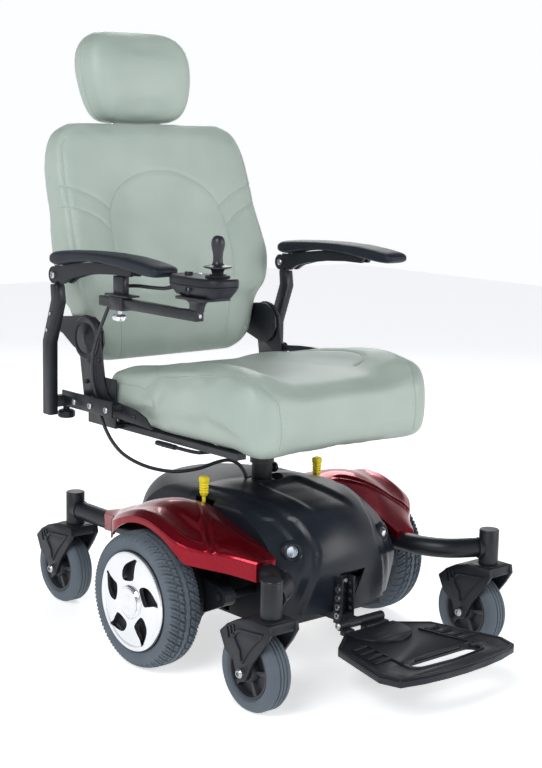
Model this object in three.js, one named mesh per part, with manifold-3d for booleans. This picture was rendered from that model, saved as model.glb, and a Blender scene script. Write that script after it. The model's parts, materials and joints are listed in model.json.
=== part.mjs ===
// Mid-wheel-drive power wheelchair. Millimetres, +Z up. The occupant faces -Y and sits with the left hand
// on the +X side. The origin is on the floor under the middle of the chair; the drive axle is at y = 0.
import * as THREE from "three";
import { mergeVertices } from "three/addons/utils/BufferGeometryUtils.js";
import Module from "manifold-3d";

const wasm = await Module();
wasm.setup();

// Driving dimensions
const driveWheel = { radius: 130, width: 70, bead: 96, x: 295 };
const caster = { radius: 75, width: 46, trail: 37, housing: 19.4, housingBottom: 178, housingTop: 243 };
const frontStem = { x: 281.7, y: -342.5 };
const rearStem = { x: 193, y: 391 };
const armTube = { radius: 19, z: 209 };
const swingPivot = { y: -130, z: 150, pin: 8, bore: 9 };
const motor = { radius: 38, gearRadius: 62, housingRadius: 88 };
const tray = { front: -188, rear: 265, half: 140, bottom: 85, floor: 4, sideTop: 228, endTop: 150 };
const post = { y: 15, tube: 20.5, bore: 16.6, shaft: 15.8, top: 383, hole: 42 };
const shroudSeam = 62;
const shroudWall = 3;
const seat = { bottom: 425, top: 562, half: 230, front: -244, rear: 262 };
const hinge = { y: 283, z: 588 };
const backTilt = THREE.MathUtils.degToRad(11.4);
const armPivot = { x: 296, y: 295, z: 717 };
const stickPivot = { x: -273, y: -172, z: 745 };
const cableRadius = 3.75;
const footHinge = { y: -283, z: 102 };
const gap = 0.3; // kept between pieces that touch

const object = new THREE.Group();

function finish(color, roughness, metalness = 0) {
  return new THREE.MeshStandardMaterial({ color, roughness, metalness });
}

const paint = {
  frame: finish(0x15161a, 0.45, 0.3),
  shroud: finish(0x2b2f38, 0.42),
  cover: finish(0x18191c, 0.6),
  red: finish(0x9c0716, 0.25, 0.4),
  rubber: finish(0x3a3f47, 0.8),
  casterRubber: finish(0x33373e, 0.75),
  rim: finish(0x2c3036, 0.5, 0.6),
  chrome: finish(0xdfe2e6, 0.12, 1),
  plastic: finish(0x1c1e22, 0.5),
  battery: finish(0x3c4046, 0.6),
  steel: finish(0x8b8f95, 0.35, 0.9),
  vinyl: finish(0xaab9af, 0.5),
  pad: finish(0x252c38, 0.7),
  yellow: finish(0xf0d90e, 0.5),
  lens: finish(0xbfd3e6, 0.1),
  cable: finish(0x14161a, 0.55),
};

// Solids from three.js geometry, joined and cut

function toSolid(geometry) {
  const bare = geometry.index ? geometry.toNonIndexed() : geometry.clone();
  bare.deleteAttribute("normal");
  bare.deleteAttribute("uv");
  const merged = mergeVertices(bare, 1e-3);
  const mesh = new wasm.Mesh({
    numProp: 3,
    vertProperties: merged.attributes.position.array,
    triVerts: merged.index.array,
  });
  return new wasm.Manifold(mesh);
}

function toGeometry(solid) {
  const mesh = solid.getMesh();
  const geometry = new THREE.BufferGeometry();
  geometry.setAttribute("position", new THREE.BufferAttribute(mesh.vertProperties, 3));
  geometry.setIndex(new THREE.BufferAttribute(mesh.triVerts, 1));
  geometry.computeVertexNormals();
  return geometry;
}

function join(...pieces) {
  return toGeometry(pieces.map(toSolid).reduce((whole, piece) => whole.add(piece)));
}

function cut(body, ...tools) {
  return toGeometry(tools.map(toSolid).reduce((left, tool) => left.subtract(tool), toSolid(body)));
}

function add(name, geometry, material, place = [0, 0, 0]) {
  const mesh = new THREE.Mesh(geometry, material);
  mesh.name = name;
  mesh.position.set(...place);
  object.add(mesh);
  return mesh;
}

// The geometry is the left-hand piece; the right-hand one is its mirror image.
function addPair(name, geometry, material) {
  add(`${name}_left`, geometry, material);
  add(`${name}_right`, geometry, material).scale.x = -1;
}

// Basic shapes

function box(x0, x1, y0, y1, z0, z1) {
  const geometry = new THREE.BoxGeometry(x1 - x0, y1 - y0, z1 - z0);
  return geometry.translate((x0 + x1) / 2, (y0 + y1) / 2, (z0 + z1) / 2);
}

function rodX(radius, x0, x1, y, z, sides = 24) {
  const geometry = new THREE.CylinderGeometry(radius, radius, x1 - x0, sides);
  return geometry.rotateZ(-Math.PI / 2).translate((x0 + x1) / 2, y, z);
}

function rodY(radius, y0, y1, x, z, sides = 24) {
  const geometry = new THREE.CylinderGeometry(radius, radius, y1 - y0, sides);
  return geometry.translate(x, 0, z).translate(0, (y0 + y1) / 2, 0);
}

function rodZ(radius, z0, z1, x, y, sides = 24) {
  const geometry = new THREE.CylinderGeometry(radius, radius, z1 - z0, sides);
  return geometry.rotateX(Math.PI / 2).translate(x, y, (z0 + z1) / 2);
}

function outline(points) {
  return points instanceof THREE.Shape ? points : new THREE.Shape(points.map((p) => new THREE.Vector2(...p)));
}

function extruded(points, depth) {
  return new THREE.ExtrudeGeometry(outline(points), { depth, bevelEnabled: false, curveSegments: 4 });
}

// A plate whose outline is in Y and Z, between two x values
function plateX(points, x0, x1) {
  const turn = new THREE.Matrix4().makeBasis(
    new THREE.Vector3(0, 1, 0),
    new THREE.Vector3(0, 0, 1),
    new THREE.Vector3(1, 0, 0),
  );
  return extruded(points, x1 - x0).applyMatrix4(turn).translate(x0, 0, 0);
}

// A plate whose outline is in X and Z, between two y values
function plateY(points, y0, y1) {
  const turn = new THREE.Matrix4().makeBasis(
    new THREE.Vector3(1, 0, 0),
    new THREE.Vector3(0, 0, 1),
    new THREE.Vector3(0, -1, 0),
  );
  return extruded(points, y1 - y0).applyMatrix4(turn).translate(0, y1, 0);
}

function plateZ(points, z0, z1) {
  return extruded(points, z1 - z0).translate(0, 0, z0);
}

function lathe(profile, sides) {
  return new THREE.LatheGeometry(profile.map((p) => new THREE.Vector2(...p)), sides);
}

// A wheel-like ring turned about the X axis; the profile is [radius, x] and closes on itself
function ringX(profile, sides) {
  return lathe([...profile, profile[0]], sides).rotateZ(-Math.PI / 2);
}

function tube(points, radius, sides, steps) {
  const path = new THREE.CatmullRomCurve3(points.map((p) => new THREE.Vector3(...p)));
  const section = new THREE.Shape().absarc(0, 0, radius, 0, Math.PI * 2);
  return new THREE.ExtrudeGeometry(section, { steps, extrudePath: path, curveSegments: sides / 2 });
}

// A closed body through rings of points, each ring an array of [x, y, z]; the ends are flat fans
function loft(rings) {
  const count = rings[0].length;
  const middle = (ring) => [0, 1, 2].map((k) => ring.reduce((sum, p) => sum + p[k], 0) / count);
  const points = [...rings.flat(), middle(rings[0]), middle(rings.at(-1))];
  const faces = [];
  for (let i = 0; i < count; i++) {
    const next = (i + 1) % count;
    for (let r = 0; r < rings.length - 1; r++) {
      const low = r * count;
      const high = low + count;
      faces.push(low + i, low + next, high + next, low + i, high + next, high + i);
    }
    const last = (rings.length - 1) * count;
    faces.push(points.length - 2, next, i, points.length - 1, last + i, last + next);
  }
  const corner = faces.map((index) => new THREE.Vector3(...points[index]));
  let volume = 0;
  for (let i = 0; i < corner.length; i += 3) volume += corner[i].dot(corner[i + 1].clone().cross(corner[i + 2]));
  const geometry = new THREE.BufferGeometry();
  geometry.setAttribute("position", new THREE.Float32BufferAttribute(points.flat(), 3));
  geometry.setIndex(volume < 0 ? faces.reverse() : faces);
  return geometry;
}

// A rounded rectangle in plan, with power 2 for an ellipse and more for squarer corners
function roundRing(halfX, halfY, power, count, at) {
  const ring = [];
  for (let i = 0; i < count; i++) {
    const turn = ((i + 0.5) / count) * Math.PI * 2;
    const [c, s] = [Math.cos(turn), Math.sin(turn)];
    const x = Math.sign(c) * Math.abs(c) ** (2 / power) * halfX;
    const y = Math.sign(s) * Math.abs(s) ** (2 / power) * halfY;
    ring.push(at(x, y));
  }
  return ring;
}

// Drive wheels, motors and their swing arms

function makeDriveTyre() {
  const half = driveWheel.width / 2;
  const shoulder = driveWheel.radius - 11;
  const side = [
    [driveWheel.bead, half - 5],
    [shoulder, half - 1],
    [driveWheel.radius, half - 13],
  ];
  const mirrored = side.map(([r, x]) => [r, -x]);
  const profile = [...mirrored, ...side.reverse()];
  return ringX(profile, 32).translate(driveWheel.x, 0, driveWheel.radius);
}

function makeDriveRim() {
  const profile = [
    [12, -30],
    [28, -30],
    [32, 6],
    [87, 6],
    [90, -28],
    [95, -28],
    [95, 28],
    [12, 20],
  ];
  return ringX(profile, 32).translate(driveWheel.x, 0, driveWheel.radius);
}

function makeWheelCover() {
  const face = [
    [0, 30],
    [86, 30],
    [94, 32],
    [94, 36],
    [84, 40],
    [32, 38],
    [30, 42.5],
    [0, 43],
  ];
  const disc = lathe(face, 24).rotateZ(-Math.PI / 2);
  const slots = [];
  for (let i = 0; i < 5; i++) {
    const slot = new THREE.Shape();
    slot.moveTo(44, -12);
    slot.quadraticCurveTo(66, -14, 80, 10);
    slot.quadraticCurveTo(62, 8, 46, 12);
    const cutter = plateX(slot, 20, 50).rotateX((i / 5) * Math.PI * 2);
    slots.push(cutter);
  }
  return cut(disc, ...slots).translate(driveWheel.x, 0, driveWheel.radius);
}

function makeMotor() {
  const { y, z } = swingPivot;
  const arm = [
    [y - 4, z - 17],
    [-30, 84],
    [20, 100],
    [20, 176],
    [-30, 184],
    [y - 4, z + 17],
  ];
  const body = join(
    rodX(motor.radius, 75, 192.5, 0, driveWheel.radius, 16),
    rodX(motor.gearRadius, 192, 227, 0, driveWheel.radius, 18),
    rodX(motor.housingRadius, 226, 252, 0, driveWheel.radius, 24),
    rodX(11, 251, 290, 0, driveWheel.radius, 12),
    plateX(arm, 200, 222),
    rodX(18, 198, 224, y, z, 16),
  );
  return cut(body, rodX(swingPivot.bore, 190, 230, y, z, 16));
}

function addDrive() {
  addPair("drive_tyre", makeDriveTyre(), paint.rubber);
  addPair("drive_rim", makeDriveRim(), paint.rim);
  addPair("wheel_cover", makeWheelCover(), paint.chrome);
  addPair("motor", makeMotor(), paint.plastic);
}

// Casters: the fork's stem axis is at x = 0, y = 0 and the wheel trails behind it

function makeFork() {
  const { trail, radius } = caster;
  const bottom = caster.housingBottom - 1;
  const hood = [
    [-32, bottom],
    [24, bottom],
    [50, 168],
    [76, 156],
    [98, 138],
    [92, 131],
    [70, 148],
    [46, 157],
    [-32, 157],
  ];
  const cheek = new THREE.Shape();
  cheek.moveTo(-32, bottom);
  cheek.lineTo(-34, 158);
  cheek.lineTo(12, 88);
  cheek.absarc(trail, radius, 16, Math.PI * 1.15, Math.PI * 1.95, false);
  cheek.lineTo(60, 94);
  cheek.lineTo(84, 108);
  cheek.lineTo(98, 137);
  cheek.lineTo(76, 156);
  cheek.lineTo(50, 168);
  cheek.lineTo(24, bottom);
  return join(
    plateX(hood, -34, 34),
    plateX(cheek, 26.5, 34),
    plateX(cheek, -34, -26.5),
    rodX(6, -38, 38, trail, radius, 8),
    rodX(9, 33, 43.6, trail, radius, 8),
    rodX(9, -43.6, -33, trail, radius, 8),
    rodZ(9, bottom - 3, caster.housingTop - 12, 0, 0, 10),
  );
}

function makeCasterWheel() {
  const half = caster.width / 2;
  const { radius } = caster;
  const side = [
    [7, half + 1],
    [20, half + 1],
    [24, 9],
    [50, 9],
    [58, half],
    [radius, half - 9],
  ];
  const mirrored = side.map(([r, x]) => [r, -x]);
  return ringX([...mirrored, ...side.reverse()], 18).translate(0, caster.trail, radius);
}

function housingWithBore(x, y) {
  const housing = rodZ(caster.housing, caster.housingBottom, caster.housingTop, x, y, 16);
  const bore = rodZ(10, caster.housingBottom - 1, caster.housingTop - 10, x, y, 12);
  return { housing, bore };
}

function makeFrontCasterArm() {
  const { x, y } = frontStem;
  const { housing, bore } = housingWithBore(x, y);
  const route = [
    [tray.half + gap, -114, armTube.z],
    [150, -114, armTube.z],
    [176, -150, armTube.z],
    [181, -212, armTube.z],
    [186, -255, armTube.z],
    [214, -300, armTube.z],
    [x - 4, y + 6, armTube.z],
  ];
  return cut(join(tube(route, armTube.radius, 10, 12), housing), bore);
}

function makeRearCasterArm() {
  const { x, y } = rearStem;
  const { housing, bore } = housingWithBore(x, y);
  const route = [
    [tray.half + gap, 92, armTube.z],
    [150, 92, armTube.z],
    [182, 122, armTube.z],
    [x, 180, armTube.z],
    [x, 280, armTube.z],
    [x, y - 4, armTube.z],
  ];
  return cut(join(tube(route, armTube.radius, 10, 10), housing), bore);
}

function addCasters() {
  const fork = makeFork();
  const wheel = makeCasterWheel();
  const corners = { front: frontStem, rear: rearStem };
  for (const [end, stem] of Object.entries(corners)) {
    for (const [hand, side] of [["left", 1], ["right", -1]]) {
      add(`caster_fork_${end}_${hand}`, fork, paint.plastic, [side * stem.x, stem.y, 0]);
      add(`caster_wheel_${end}_${hand}`, wheel, paint.casterRubber, [side * stem.x, stem.y, 0]);
    }
  }
  addPair("caster_arm_front", makeFrontCasterArm(), paint.frame);
  addPair("caster_arm_rear", makeRearCasterArm(), paint.frame);
}

// Chassis, batteries and controller

function makeChassis() {
  const { front, rear, half, bottom, floor, sideTop, endTop } = tray;
  const deck = [
    [-half, front],
    [half, front],
    [half, rear - 55],
    [half - 50, rear],
    [50 - half, rear],
    [-half, rear - 55],
  ];
  const pieces = [
    plateZ(deck, bottom, bottom + floor),
    box(-half, half, front, front + 4, bottom, endTop),
    box(50 - half, half - 50, rear - 4, rear, bottom, endTop),
    rodZ(post.tube, bottom + 1, post.top, 0, post.y, 20),
    box(-30, 30, post.y - 30, post.y + 30, bottom + 1, bottom + 9),
  ];
  for (const side of [-1, 1]) {
    const inner = side * (half - 4);
    const outer = side * half;
    const [x0, x1] = [Math.min(inner, outer), Math.max(inner, outer)];
    pieces.push(box(x0, x1, front, -58, bottom, sideTop));
    pieces.push(box(x0, x1, 58, rear - 58, bottom, sideTop));
    const [p0, p1] = side > 0 ? [half - 2, 227] : [-227, 2 - half];
    pieces.push(rodX(swingPivot.pin, p0, p1, swingPivot.y, swingPivot.z, 14));
  }
  const bore = rodZ(post.bore, 140, post.top + 1, 0, post.y, 24);
  return cut(join(...pieces), bore);
}

function makeBattery(y0, y1) {
  const top = 246;
  return join(
    box(-98, 98, y0, y1, tray.bottom + tray.floor + 1, top),
    box(-84, -68, y0 + 20, y0 + 36, top - 1, top + 9),
    box(68, 84, y0 + 20, y0 + 36, top - 1, top + 9),
  );
}

function addChassis() {
  add("chassis", makeChassis(), paint.frame);
  add("battery_front", makeBattery(-180, -50), paint.battery);
  add("battery_rear", makeBattery(74, 204), paint.battery);
  const controller = join(box(-75, 75, 212, 250, 100, 205), box(-60, 60, 206, 213, 110, 195));
  add("controller", controller, paint.steel);
}

// Shroud: stacked plan outlines, each with the y of its front and rear at the middle and at the sides

const shroudLevels = [
  { z: 118, half: 150, front: -236, frontSide: -198, rear: 306, rearSide: 206 },
  { z: 200, half: 153, front: -245, frontSide: -212, rear: 315, rearSide: 214 },
  { z: 235, half: 153, front: -236, frontSide: -190, rear: 315, rearSide: 206 },
  { z: 262, half: 152, front: -222, frontSide: -161, rear: 306, rearSide: 190 },
  { z: 285, half: 150, front: -204, frontSide: -115, rear: 284, rearSide: 160 },
  { z: 299, half: 143, front: -182, frontSide: -84, rear: 256, rearSide: 130 },
  { z: 308, half: 124, front: -150, frontSide: -56, rear: 222, rearSide: 100 },
  { z: 313, half: 92, front: -100, frontSide: -30, rear: 170, rearSide: 80 },
];

function shroudRing(level, inset) {
  const half = level.half - inset;
  const steps = 6;
  const ring = [];
  for (const end of ["front", "rear"]) {
    const inward = end === "front" ? inset : -inset;
    for (let i = 0; i <= steps; i++) {
      const across = (2 * i) / steps - 1;
      const x = end === "front" ? across * half : -across * half;
      const middle = level[end] + inward;
      const side = level[`${end}Side`] + inward;
      ring.push([x, middle + (side - middle) * Math.abs(across) ** 2.2, level.z]);
    }
  }
  return ring;
}

function makeShroudShell() {
  const outer = loft(shroudLevels.map((level) => shroudRing(level, 0)));
  const lowered = shroudLevels.map((level, i) => ({ ...level, z: i ? level.z - shroudWall : level.z - 20 }));
  const inner = loft(lowered.map((level) => shroudRing(level, shroudWall)));
  const opening = [
    [-32, 191],
    [28, 191],
    [6, 136],
    [-32, 136],
  ];
  const tools = [
    inner,
    box(-170, 170, -160, 215, 100, 232),
    box(-170, 170, 214, 330, 100, 185),
    rodZ(post.hole, 270, 330, 0, post.y, 20),
    plateY(opening, -260, -200),
  ];
  for (const side of [-1, 1]) {
    const slot = side > 0 ? [139, 163] : [-163, -139];
    tools.push(box(...slot, -14, 44, 225, 330));
    tools.push(rodY(13, -260, -190, side * 118, 238, 14));
  }
  return cut(outer, ...tools);
}

function addShroud() {
  const shell = makeShroudShell();
  add("front_shroud", cut(shell, box(-200, 200, shroudSeam, 400, 0, 400)), paint.shroud);
  add("rear_shroud", cut(shell, box(-200, 200, -400, shroudSeam + 1, 0, 400)), paint.cover);
  const headlight = join(rodY(12, -222, -196, 118, 238, 14), rodY(9, -224, -221, 118, 238, 10));
  addPair("headlight", headlight, paint.lens);
}

// Fenders: cross-sections from front to rear, with the inner and outer wall, the inner, middle and outer
// top heights, and the lower edges of both walls

const fenderSections = [
  { y: -212, xi: 159, xo: 205, zi: 232, zm: 232, zo: 231, low: 205, lip: 195 },
  { y: -170, xi: 158, xo: 236, zi: 250, zm: 252, zo: 241, low: 234, lip: 206 },
  { y: -130, xi: 158, xo: 282, zi: 262, zm: 270, zo: 250, low: 248, lip: 220 },
  { y: -100, xi: 158, xo: 304, zi: 270, zm: 283, zo: 259, low: 256, lip: 228 },
  { y: -60, xi: 158, xo: 308, zi: 282, zm: 298, zo: 276, low: 268, lip: 228 },
  { y: -20, xi: 158, xo: 309, zi: 293, zm: 308, zo: 287, low: 279, lip: 228 },
  { y: 20, xi: 158, xo: 309, zi: 295, zm: 309, zo: 287, low: 281, lip: 228 },
  { y: 60, xi: 158, xo: 308, zi: 291, zm: 300, zo: 277, low: 277, lip: 228 },
  { y: 100, xi: 158, xo: 304, zi: 283, zm: 288, zo: 260, low: 269, lip: 228 },
  { y: 140, xi: 160, xo: 276, zi: 273, zm: 272, zo: 250, low: 259, lip: 220 },
  { y: 190, xi: 164, xo: 236, zi: 257, zm: 255, zo: 241, low: 241, lip: 206 },
  { y: 250, xi: 171, xo: 217, zi: 234, zm: 235, zo: 232, low: 214, lip: 197 },
];

function fenderRing({ y, xi, xo, zi, zm, zo, low, lip }, inset) {
  const drop = inset ? 30 : 0;
  const middle = (xi + xo) / 2;
  return [
    [xi + inset, y, low - drop],
    [xi + inset, y, zi - inset],
    [middle - (xo - xi) / 6, y, zm - inset],
    [middle + (xo - xi) / 5, y, (zm + zo) / 2 + 2 - inset],
    [xo - inset, y, zo - inset],
    [xo - inset, y, lip - drop],
  ];
}

function makeFender() {
  const wall = 2.5;
  const outer = loft(fenderSections.map((section) => fenderRing(section, 0)));
  const sections = [...fenderSections];
  sections[0] = { ...sections[0], y: sections[0].y - 2 };
  sections[sections.length - 1] = { ...sections.at(-1), y: sections.at(-1).y + 2 };
  const inner = loft(sections.map((section) => fenderRing(section, wall)));
  const arch = rodX(145, 225, 340, 0, driveWheel.radius, 40);
  return cut(outer, inner, arch);
}

// Freewheel levers stand in the slots between shroud and fender
const leverPivot = { x: 148.4, y: 13.6, z: 282 };

function makeFreewheelLever() {
  const { x, y, z } = leverPivot;
  return join(
    rodX(6, x - 7, x + 5, y, z, 16),
    box(x - 4, x + 4, y - 3, y + 3, z, 309),
    box(x - 7, x + 7, y - 7.5, y + 7.5, 307, 343),
  );
}

function addBody() {
  addShroud();
  addPair("fender", makeFender(), paint.red);
  addPair("freewheel_lever", makeFreewheelLever(), paint.yellow);
}

// Foot bracket and flip-up footplate

function makeFootBracket() {
  const { y, z } = footHinge;
  const body = join(
    box(-42, -8, -268, -247, 96, 186),
    box(-34, -14, -248, tray.front - gap, 98, 114),
    box(-28, -12, -248, tray.front - gap, 140, 149),
    rodX(9, -40, -10, y, z, 12),
    box(-40, -10, y, -266, 94, 110),
    rodX(4, -62, 50, y, z, 8),
  );
  const holes = [122, 138, 154, 170].map((height) => rodX(4.5, -50, 0, -260, height, 6));
  return cut(body, box(-38, -12, -270, -252, 116, 190), ...holes);
}

function makeFootplate() {
  const plan = new THREE.Shape();
  plan.moveTo(-62, -299);
  plan.lineTo(-122, -345);
  plan.lineTo(-160, -488);
  plan.lineTo(-148, -528);
  plan.quadraticCurveTo(0, -566, 148, -528);
  plan.lineTo(160, -488);
  plan.lineTo(122, -345);
  plan.lineTo(62, -299);
  const slot = new THREE.Shape();
  slot.moveTo(-80, -478);
  slot.absarc(-78, -492, 14, Math.PI / 2, Math.PI * 1.5, false);
  slot.quadraticCurveTo(0, -514, 78, -506);
  slot.absarc(78, -492, 14, -Math.PI / 2, Math.PI / 2, false);
  const hollow = [
    [-58, -303],
    [-115, -348],
    [-153, -488],
    [-143, -523],
    [143, -523],
    [153, -488],
    [115, -348],
    [58, -303],
  ];
  const plate = cut(plateZ(plan, 74, 92), plateZ(hollow, 73, 87), plateZ(slot, 70, 95));
  const { y, z } = footHinge;
  const knuckles = [
    [-62, -40.5],
    [-9.5, 50],
  ].flatMap(([x0, x1]) => [rodX(9, x0, x1, y, z, 10), box(x0, x1, -300, y - 2, 87, 97)]);
  return cut(join(plate, ...knuckles), rodX(4.7, -70, 60, y, z, 10));
}

function addFootrest() {
  add("foot_bracket", makeFootBracket(), paint.frame);
  add("footplate", makeFootplate(), paint.plastic);
}

// Seat

function makeSeatPost() {
  return join(
    rodZ(post.shaft, 180, 392, 0, post.y, 20),
    rodZ(23.5, post.top + 1, 393, 0, post.y, 20),
    rodZ(52, 392, 400 - gap, 0, post.y, 20),
  );
}

function makeSeatFrame() {
  const top = seat.bottom - gap;
  return join(
    box(-212, -190, -160, 255, 413, top),
    box(190, 212, -160, 255, 413, top),
    box(-191, 191, -130, -105, 414, top),
    box(-191, 191, 120, 145, 414, top),
    box(-60, -35, -106, 121, 414, top),
    box(35, 60, -106, 121, 414, top),
    box(-60, 60, -35, 70, 400, 415),
  );
}

// The seat pad is widest beside the thighs, has a rolled front edge and raised sides
function makeSeatCushion() {
  const middle = (seat.front + seat.rear) / 2;
  const length = (seat.rear - seat.front) / 2;
  const levels = [
    [seat.bottom, 26],
    [seat.bottom + 14, 8],
    [480, 1],
    [520, 2],
    [546, 14],
    [seat.top, 46],
  ];
  const rings = levels.map(([z, inset]) => {
    const place = (x, y) => [x * (y > 60 ? 0.975 : 1), middle + y, z];
    return roundRing(seat.half - inset, length - inset, 7, 20, place);
  });
  return loft(rings);
}

// The swivel lever is a rod under the seat whose handle points to the rear on the right-hand side
function makeSwivelLever() {
  const route = [
    [-66, -62, 408],
    [-120, -60, 408],
    [-196, -52, 408],
    [-214, -36, 408],
    [-217, 20, 408],
  ];
  return join(
    tube(route, 3.5, 6, 8),
    rodZ(9, 402, 414 - gap, -66, -62, 12),
    box(-223, -211, 16, 74, 403, 412.5),
  );
}

// Recliner side plate, outline in Y and Z, with a stiffening flange and a tab to the seat frame
function makeReclinerPlate() {
  const side = new THREE.Shape();
  side.moveTo(64, 436);
  side.lineTo(290, 447);
  side.lineTo(303, 520);
  side.absarc(hinge.y, hinge.z, 46, -1.0, Math.PI + 0.15, false);
  side.lineTo(224, 511);
  side.quadraticCurveTo(210, 478, 150, 470);
  side.quadraticCurveTo(100, 466, 87, 456);
  return join(
    plateX(side, 233, 238),
    box(229, 234, 190, 284, 417, 515),
    box(212 + gap, 232, 190, 250, 417, seat.bottom - gap),
    box(213, 230, 189, 191, 417, seat.bottom - gap),
  );
}

// Arm post: bent square tube with a cross tube and a mounting bar bolted through to the recliner plate
function makeArmPost() {
  const line = [
    [307.5, 434],
    [332.5, 434],
    [332.5, 586],
    [303, 668],
    [306, 698],
    [282, 698],
    [277, 664],
    [307.5, 580],
  ];
  const { y, z } = armPivot;
  const plate = 238 + gap;
  return join(
    plateX(line, 290, 310),
    rodX(14.5, 291.5, 300.5, y, z, 16),
    box(291.5, 300.5, y - 12, y + 10, 690, z),
    box(plate, 291, 309, 331, 449, 471),
    box(267, 272, 150, 320, 449, 481),
    rodX(7, plate, 268, 166, 463, 8),
    rodX(7, plate, 268, 276, 463, 8),
    rodX(6, 271, 277, 166, 463, 8),
    rodX(6, 271, 277, 221, 463, 8),
    rodX(6, 271, 277, 276, 463, 8),
  );
}

function addSeat() {
  add("seat_post", makeSeatPost(), paint.steel);
  add("seat_frame", makeSeatFrame(), paint.frame);
  add("seat_cushion", makeSeatCushion(), paint.vinyl);
  add("swivel_lever", makeSwivelLever(), paint.plastic);
  addPair("recliner_plate", makeReclinerPlate(), paint.frame);
  addPair("arm_post", makeArmPost(), paint.frame);
  const lever = join(
    rodX(12, 238.5, 250, 236, 536, 14),
    box(242, 250, 120, 238, 529, 545),
    box(240, 254, 118, 160, 528, 547),
  );
  add("recline_lever", lever, paint.plastic);
}

// Backrest pieces are made with v up along the back and w out behind it, measured from the hinge
function leanBack(geometry) {
  return geometry.rotateX(-backTilt).translate(0, hinge.y, hinge.z);
}

const backWidths = [
  { v: -52, half: 150, front: 40, rear: 84 },
  { v: -44, half: 178, front: 28, rear: 94 },
  { v: -15, half: 200, front: 20, rear: 98 },
  { v: 30, half: 212, front: 10, rear: 100 },
  { v: 60, half: 221, front: 2, rear: 100 },
  { v: 95, half: 243, front: -15, rear: 100 },
  { v: 150, half: 252, front: -16, rear: 100 },
  { v: 200, half: 250, front: -8, rear: 100 },
  { v: 260, half: 244, front: 4, rear: 100 },
  { v: 320, half: 238, front: 12, rear: 100 },
  { v: 380, half: 226, front: 20, rear: 99 },
  { v: 415, half: 204, front: 26, rear: 96 },
  { v: 432, half: 168, front: 38, rear: 88 },
];

function padRings(widths, power, count) {
  return widths.map(({ v, half, front, rear }) => {
    const place = (x, w) => [x, (front + rear) / 2 + w, v];
    return roundRing(half, (rear - front) / 2, power, count, place);
  });
}

const headPost = { x: 60, w: 80, radius: 6 };

function makeBackCushion() {
  const body = loft(padRings(backWidths, 6, 16));
  const holes = [-headPost.x, headPost.x].map((x) => rodZ(9, 285, 450, x, headPost.w, 10));
  return leanBack(cut(body, ...holes));
}

function makeBackFrame() {
  const plate = new THREE.Shape();
  plate.moveTo(62, 78);
  plate.absarc(0, 0, 44, 1.5, Math.PI * 1.75, false);
  plate.lineTo(66, -12);
  plate.lineTo(112, 28);
  plate.lineTo(112, 54);
  const pieces = [];
  for (const side of [-1, 1]) {
    const [x0, x1] = side > 0 ? [224.5, 228.5] : [-228.5, -224.5];
    const [u0, u1] = side > 0 ? [160, 186] : [-186, -160];
    pieces.push(plateX(plate, x0, x1), box(u0, u1, 101, 120, 20, 330));
    pieces.push(rodX(5, ...(side > 0 ? [224.5, 232.5] : [-232.5, -224.5]), 0, 0, 16));
  }
  pieces.push(box(-161, 161, 101, 120, 300, 330), box(-226, 226, 101, 112, 20, 50));
  pieces.push(box(-161, 161, 101, 105, 20, 330));
  return leanBack(join(...pieces));
}

const headWidths = [
  { v: 440, half: 88, front: 56, rear: 104 },
  { v: 447, half: 104, front: 44, rear: 118 },
  { v: 475, half: 120, front: 30, rear: 130 },
  { v: 515, half: 132, front: 22, rear: 139 },
  { v: 560, half: 134, front: 20, rear: 142 },
  { v: 600, half: 126, front: 24, rear: 137 },
  { v: 628, half: 106, front: 36, rear: 124 },
  { v: 641, half: 78, front: 54, rear: 106 },
];

function makeHeadrest() {
  const body = loft(padRings(headWidths, 3.6, 16));
  const bores = [-headPost.x, headPost.x].map((x) => rodZ(6.8, 430, 500, x, headPost.w, 10));
  return leanBack(cut(body, ...bores));
}

// Two posts stand in the back cushion and hold the head pad
function makeHeadrestPosts() {
  const { x, w, radius } = headPost;
  const bars = [-x, x].map((at) => rodZ(radius, 300, 490, at, w, 12));
  return leanBack(join(...bars, box(-x, x, w - 4, w + 4, 433.5, 438.5)));
}

function addBack() {
  add("back_frame", makeBackFrame(), paint.frame);
  add("back_cushion", makeBackCushion(), paint.vinyl);
  add("headrest_posts", makeHeadrestPosts(), paint.chrome);
  add("headrest", makeHeadrest(), paint.vinyl);
}

// Flip-up arms

function makeArmBracket() {
  const { y, z } = armPivot;
  const bar = [
    [289, 736],
    [272, 736],
    [226, 744.5],
    [174, 751],
    [119, 753],
    [58, 749],
    [34, 744],
    [40, 733],
    [120, 733],
    [150, 731],
    [200, 724],
    [240, 714],
    [262, 702],
    [280, 706],
  ];
  const cheeks = [
    [283, 291],
    [301, 309],
  ].map(([x0, x1]) => rodX(17, x0, x1, y, z, 16));
  return cut(join(plateX(bar, 283, 309), ...cheeks), box(291, 301, 274, 320, 690, 733.5));
}

function makeArmPad() {
  const side = new THREE.Shape();
  side.moveTo(276, 737);
  side.quadraticCurveTo(300, 737, 300, 752);
  side.quadraticCurveTo(297, 764, 270, 765);
  side.quadraticCurveTo(150, 775, 30, 771);
  side.quadraticCurveTo(-20, 767, -50, 762);
  side.quadraticCurveTo(-64, 757, -58, 746);
  side.quadraticCurveTo(-48, 737, -30, 740);
  side.lineTo(38, 746);
  side.lineTo(58, 750 + gap);
  side.lineTo(119, 754 + gap);
  side.lineTo(174, 752 + gap);
  side.lineTo(226, 745.5 + gap);
  side.lineTo(262, 738 + gap);
  return plateX(side, 266, 326);
}

function addArms() {
  addPair("arm_bracket", makeArmBracket(), paint.plastic);
  addPair("arm_pad", makeArmPad(), paint.pad);
}

// Joystick on the right arm
const pod = { x: -275, y: -134, halfX: 41, halfY: 75, bottom: 715, top: 751 };

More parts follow.
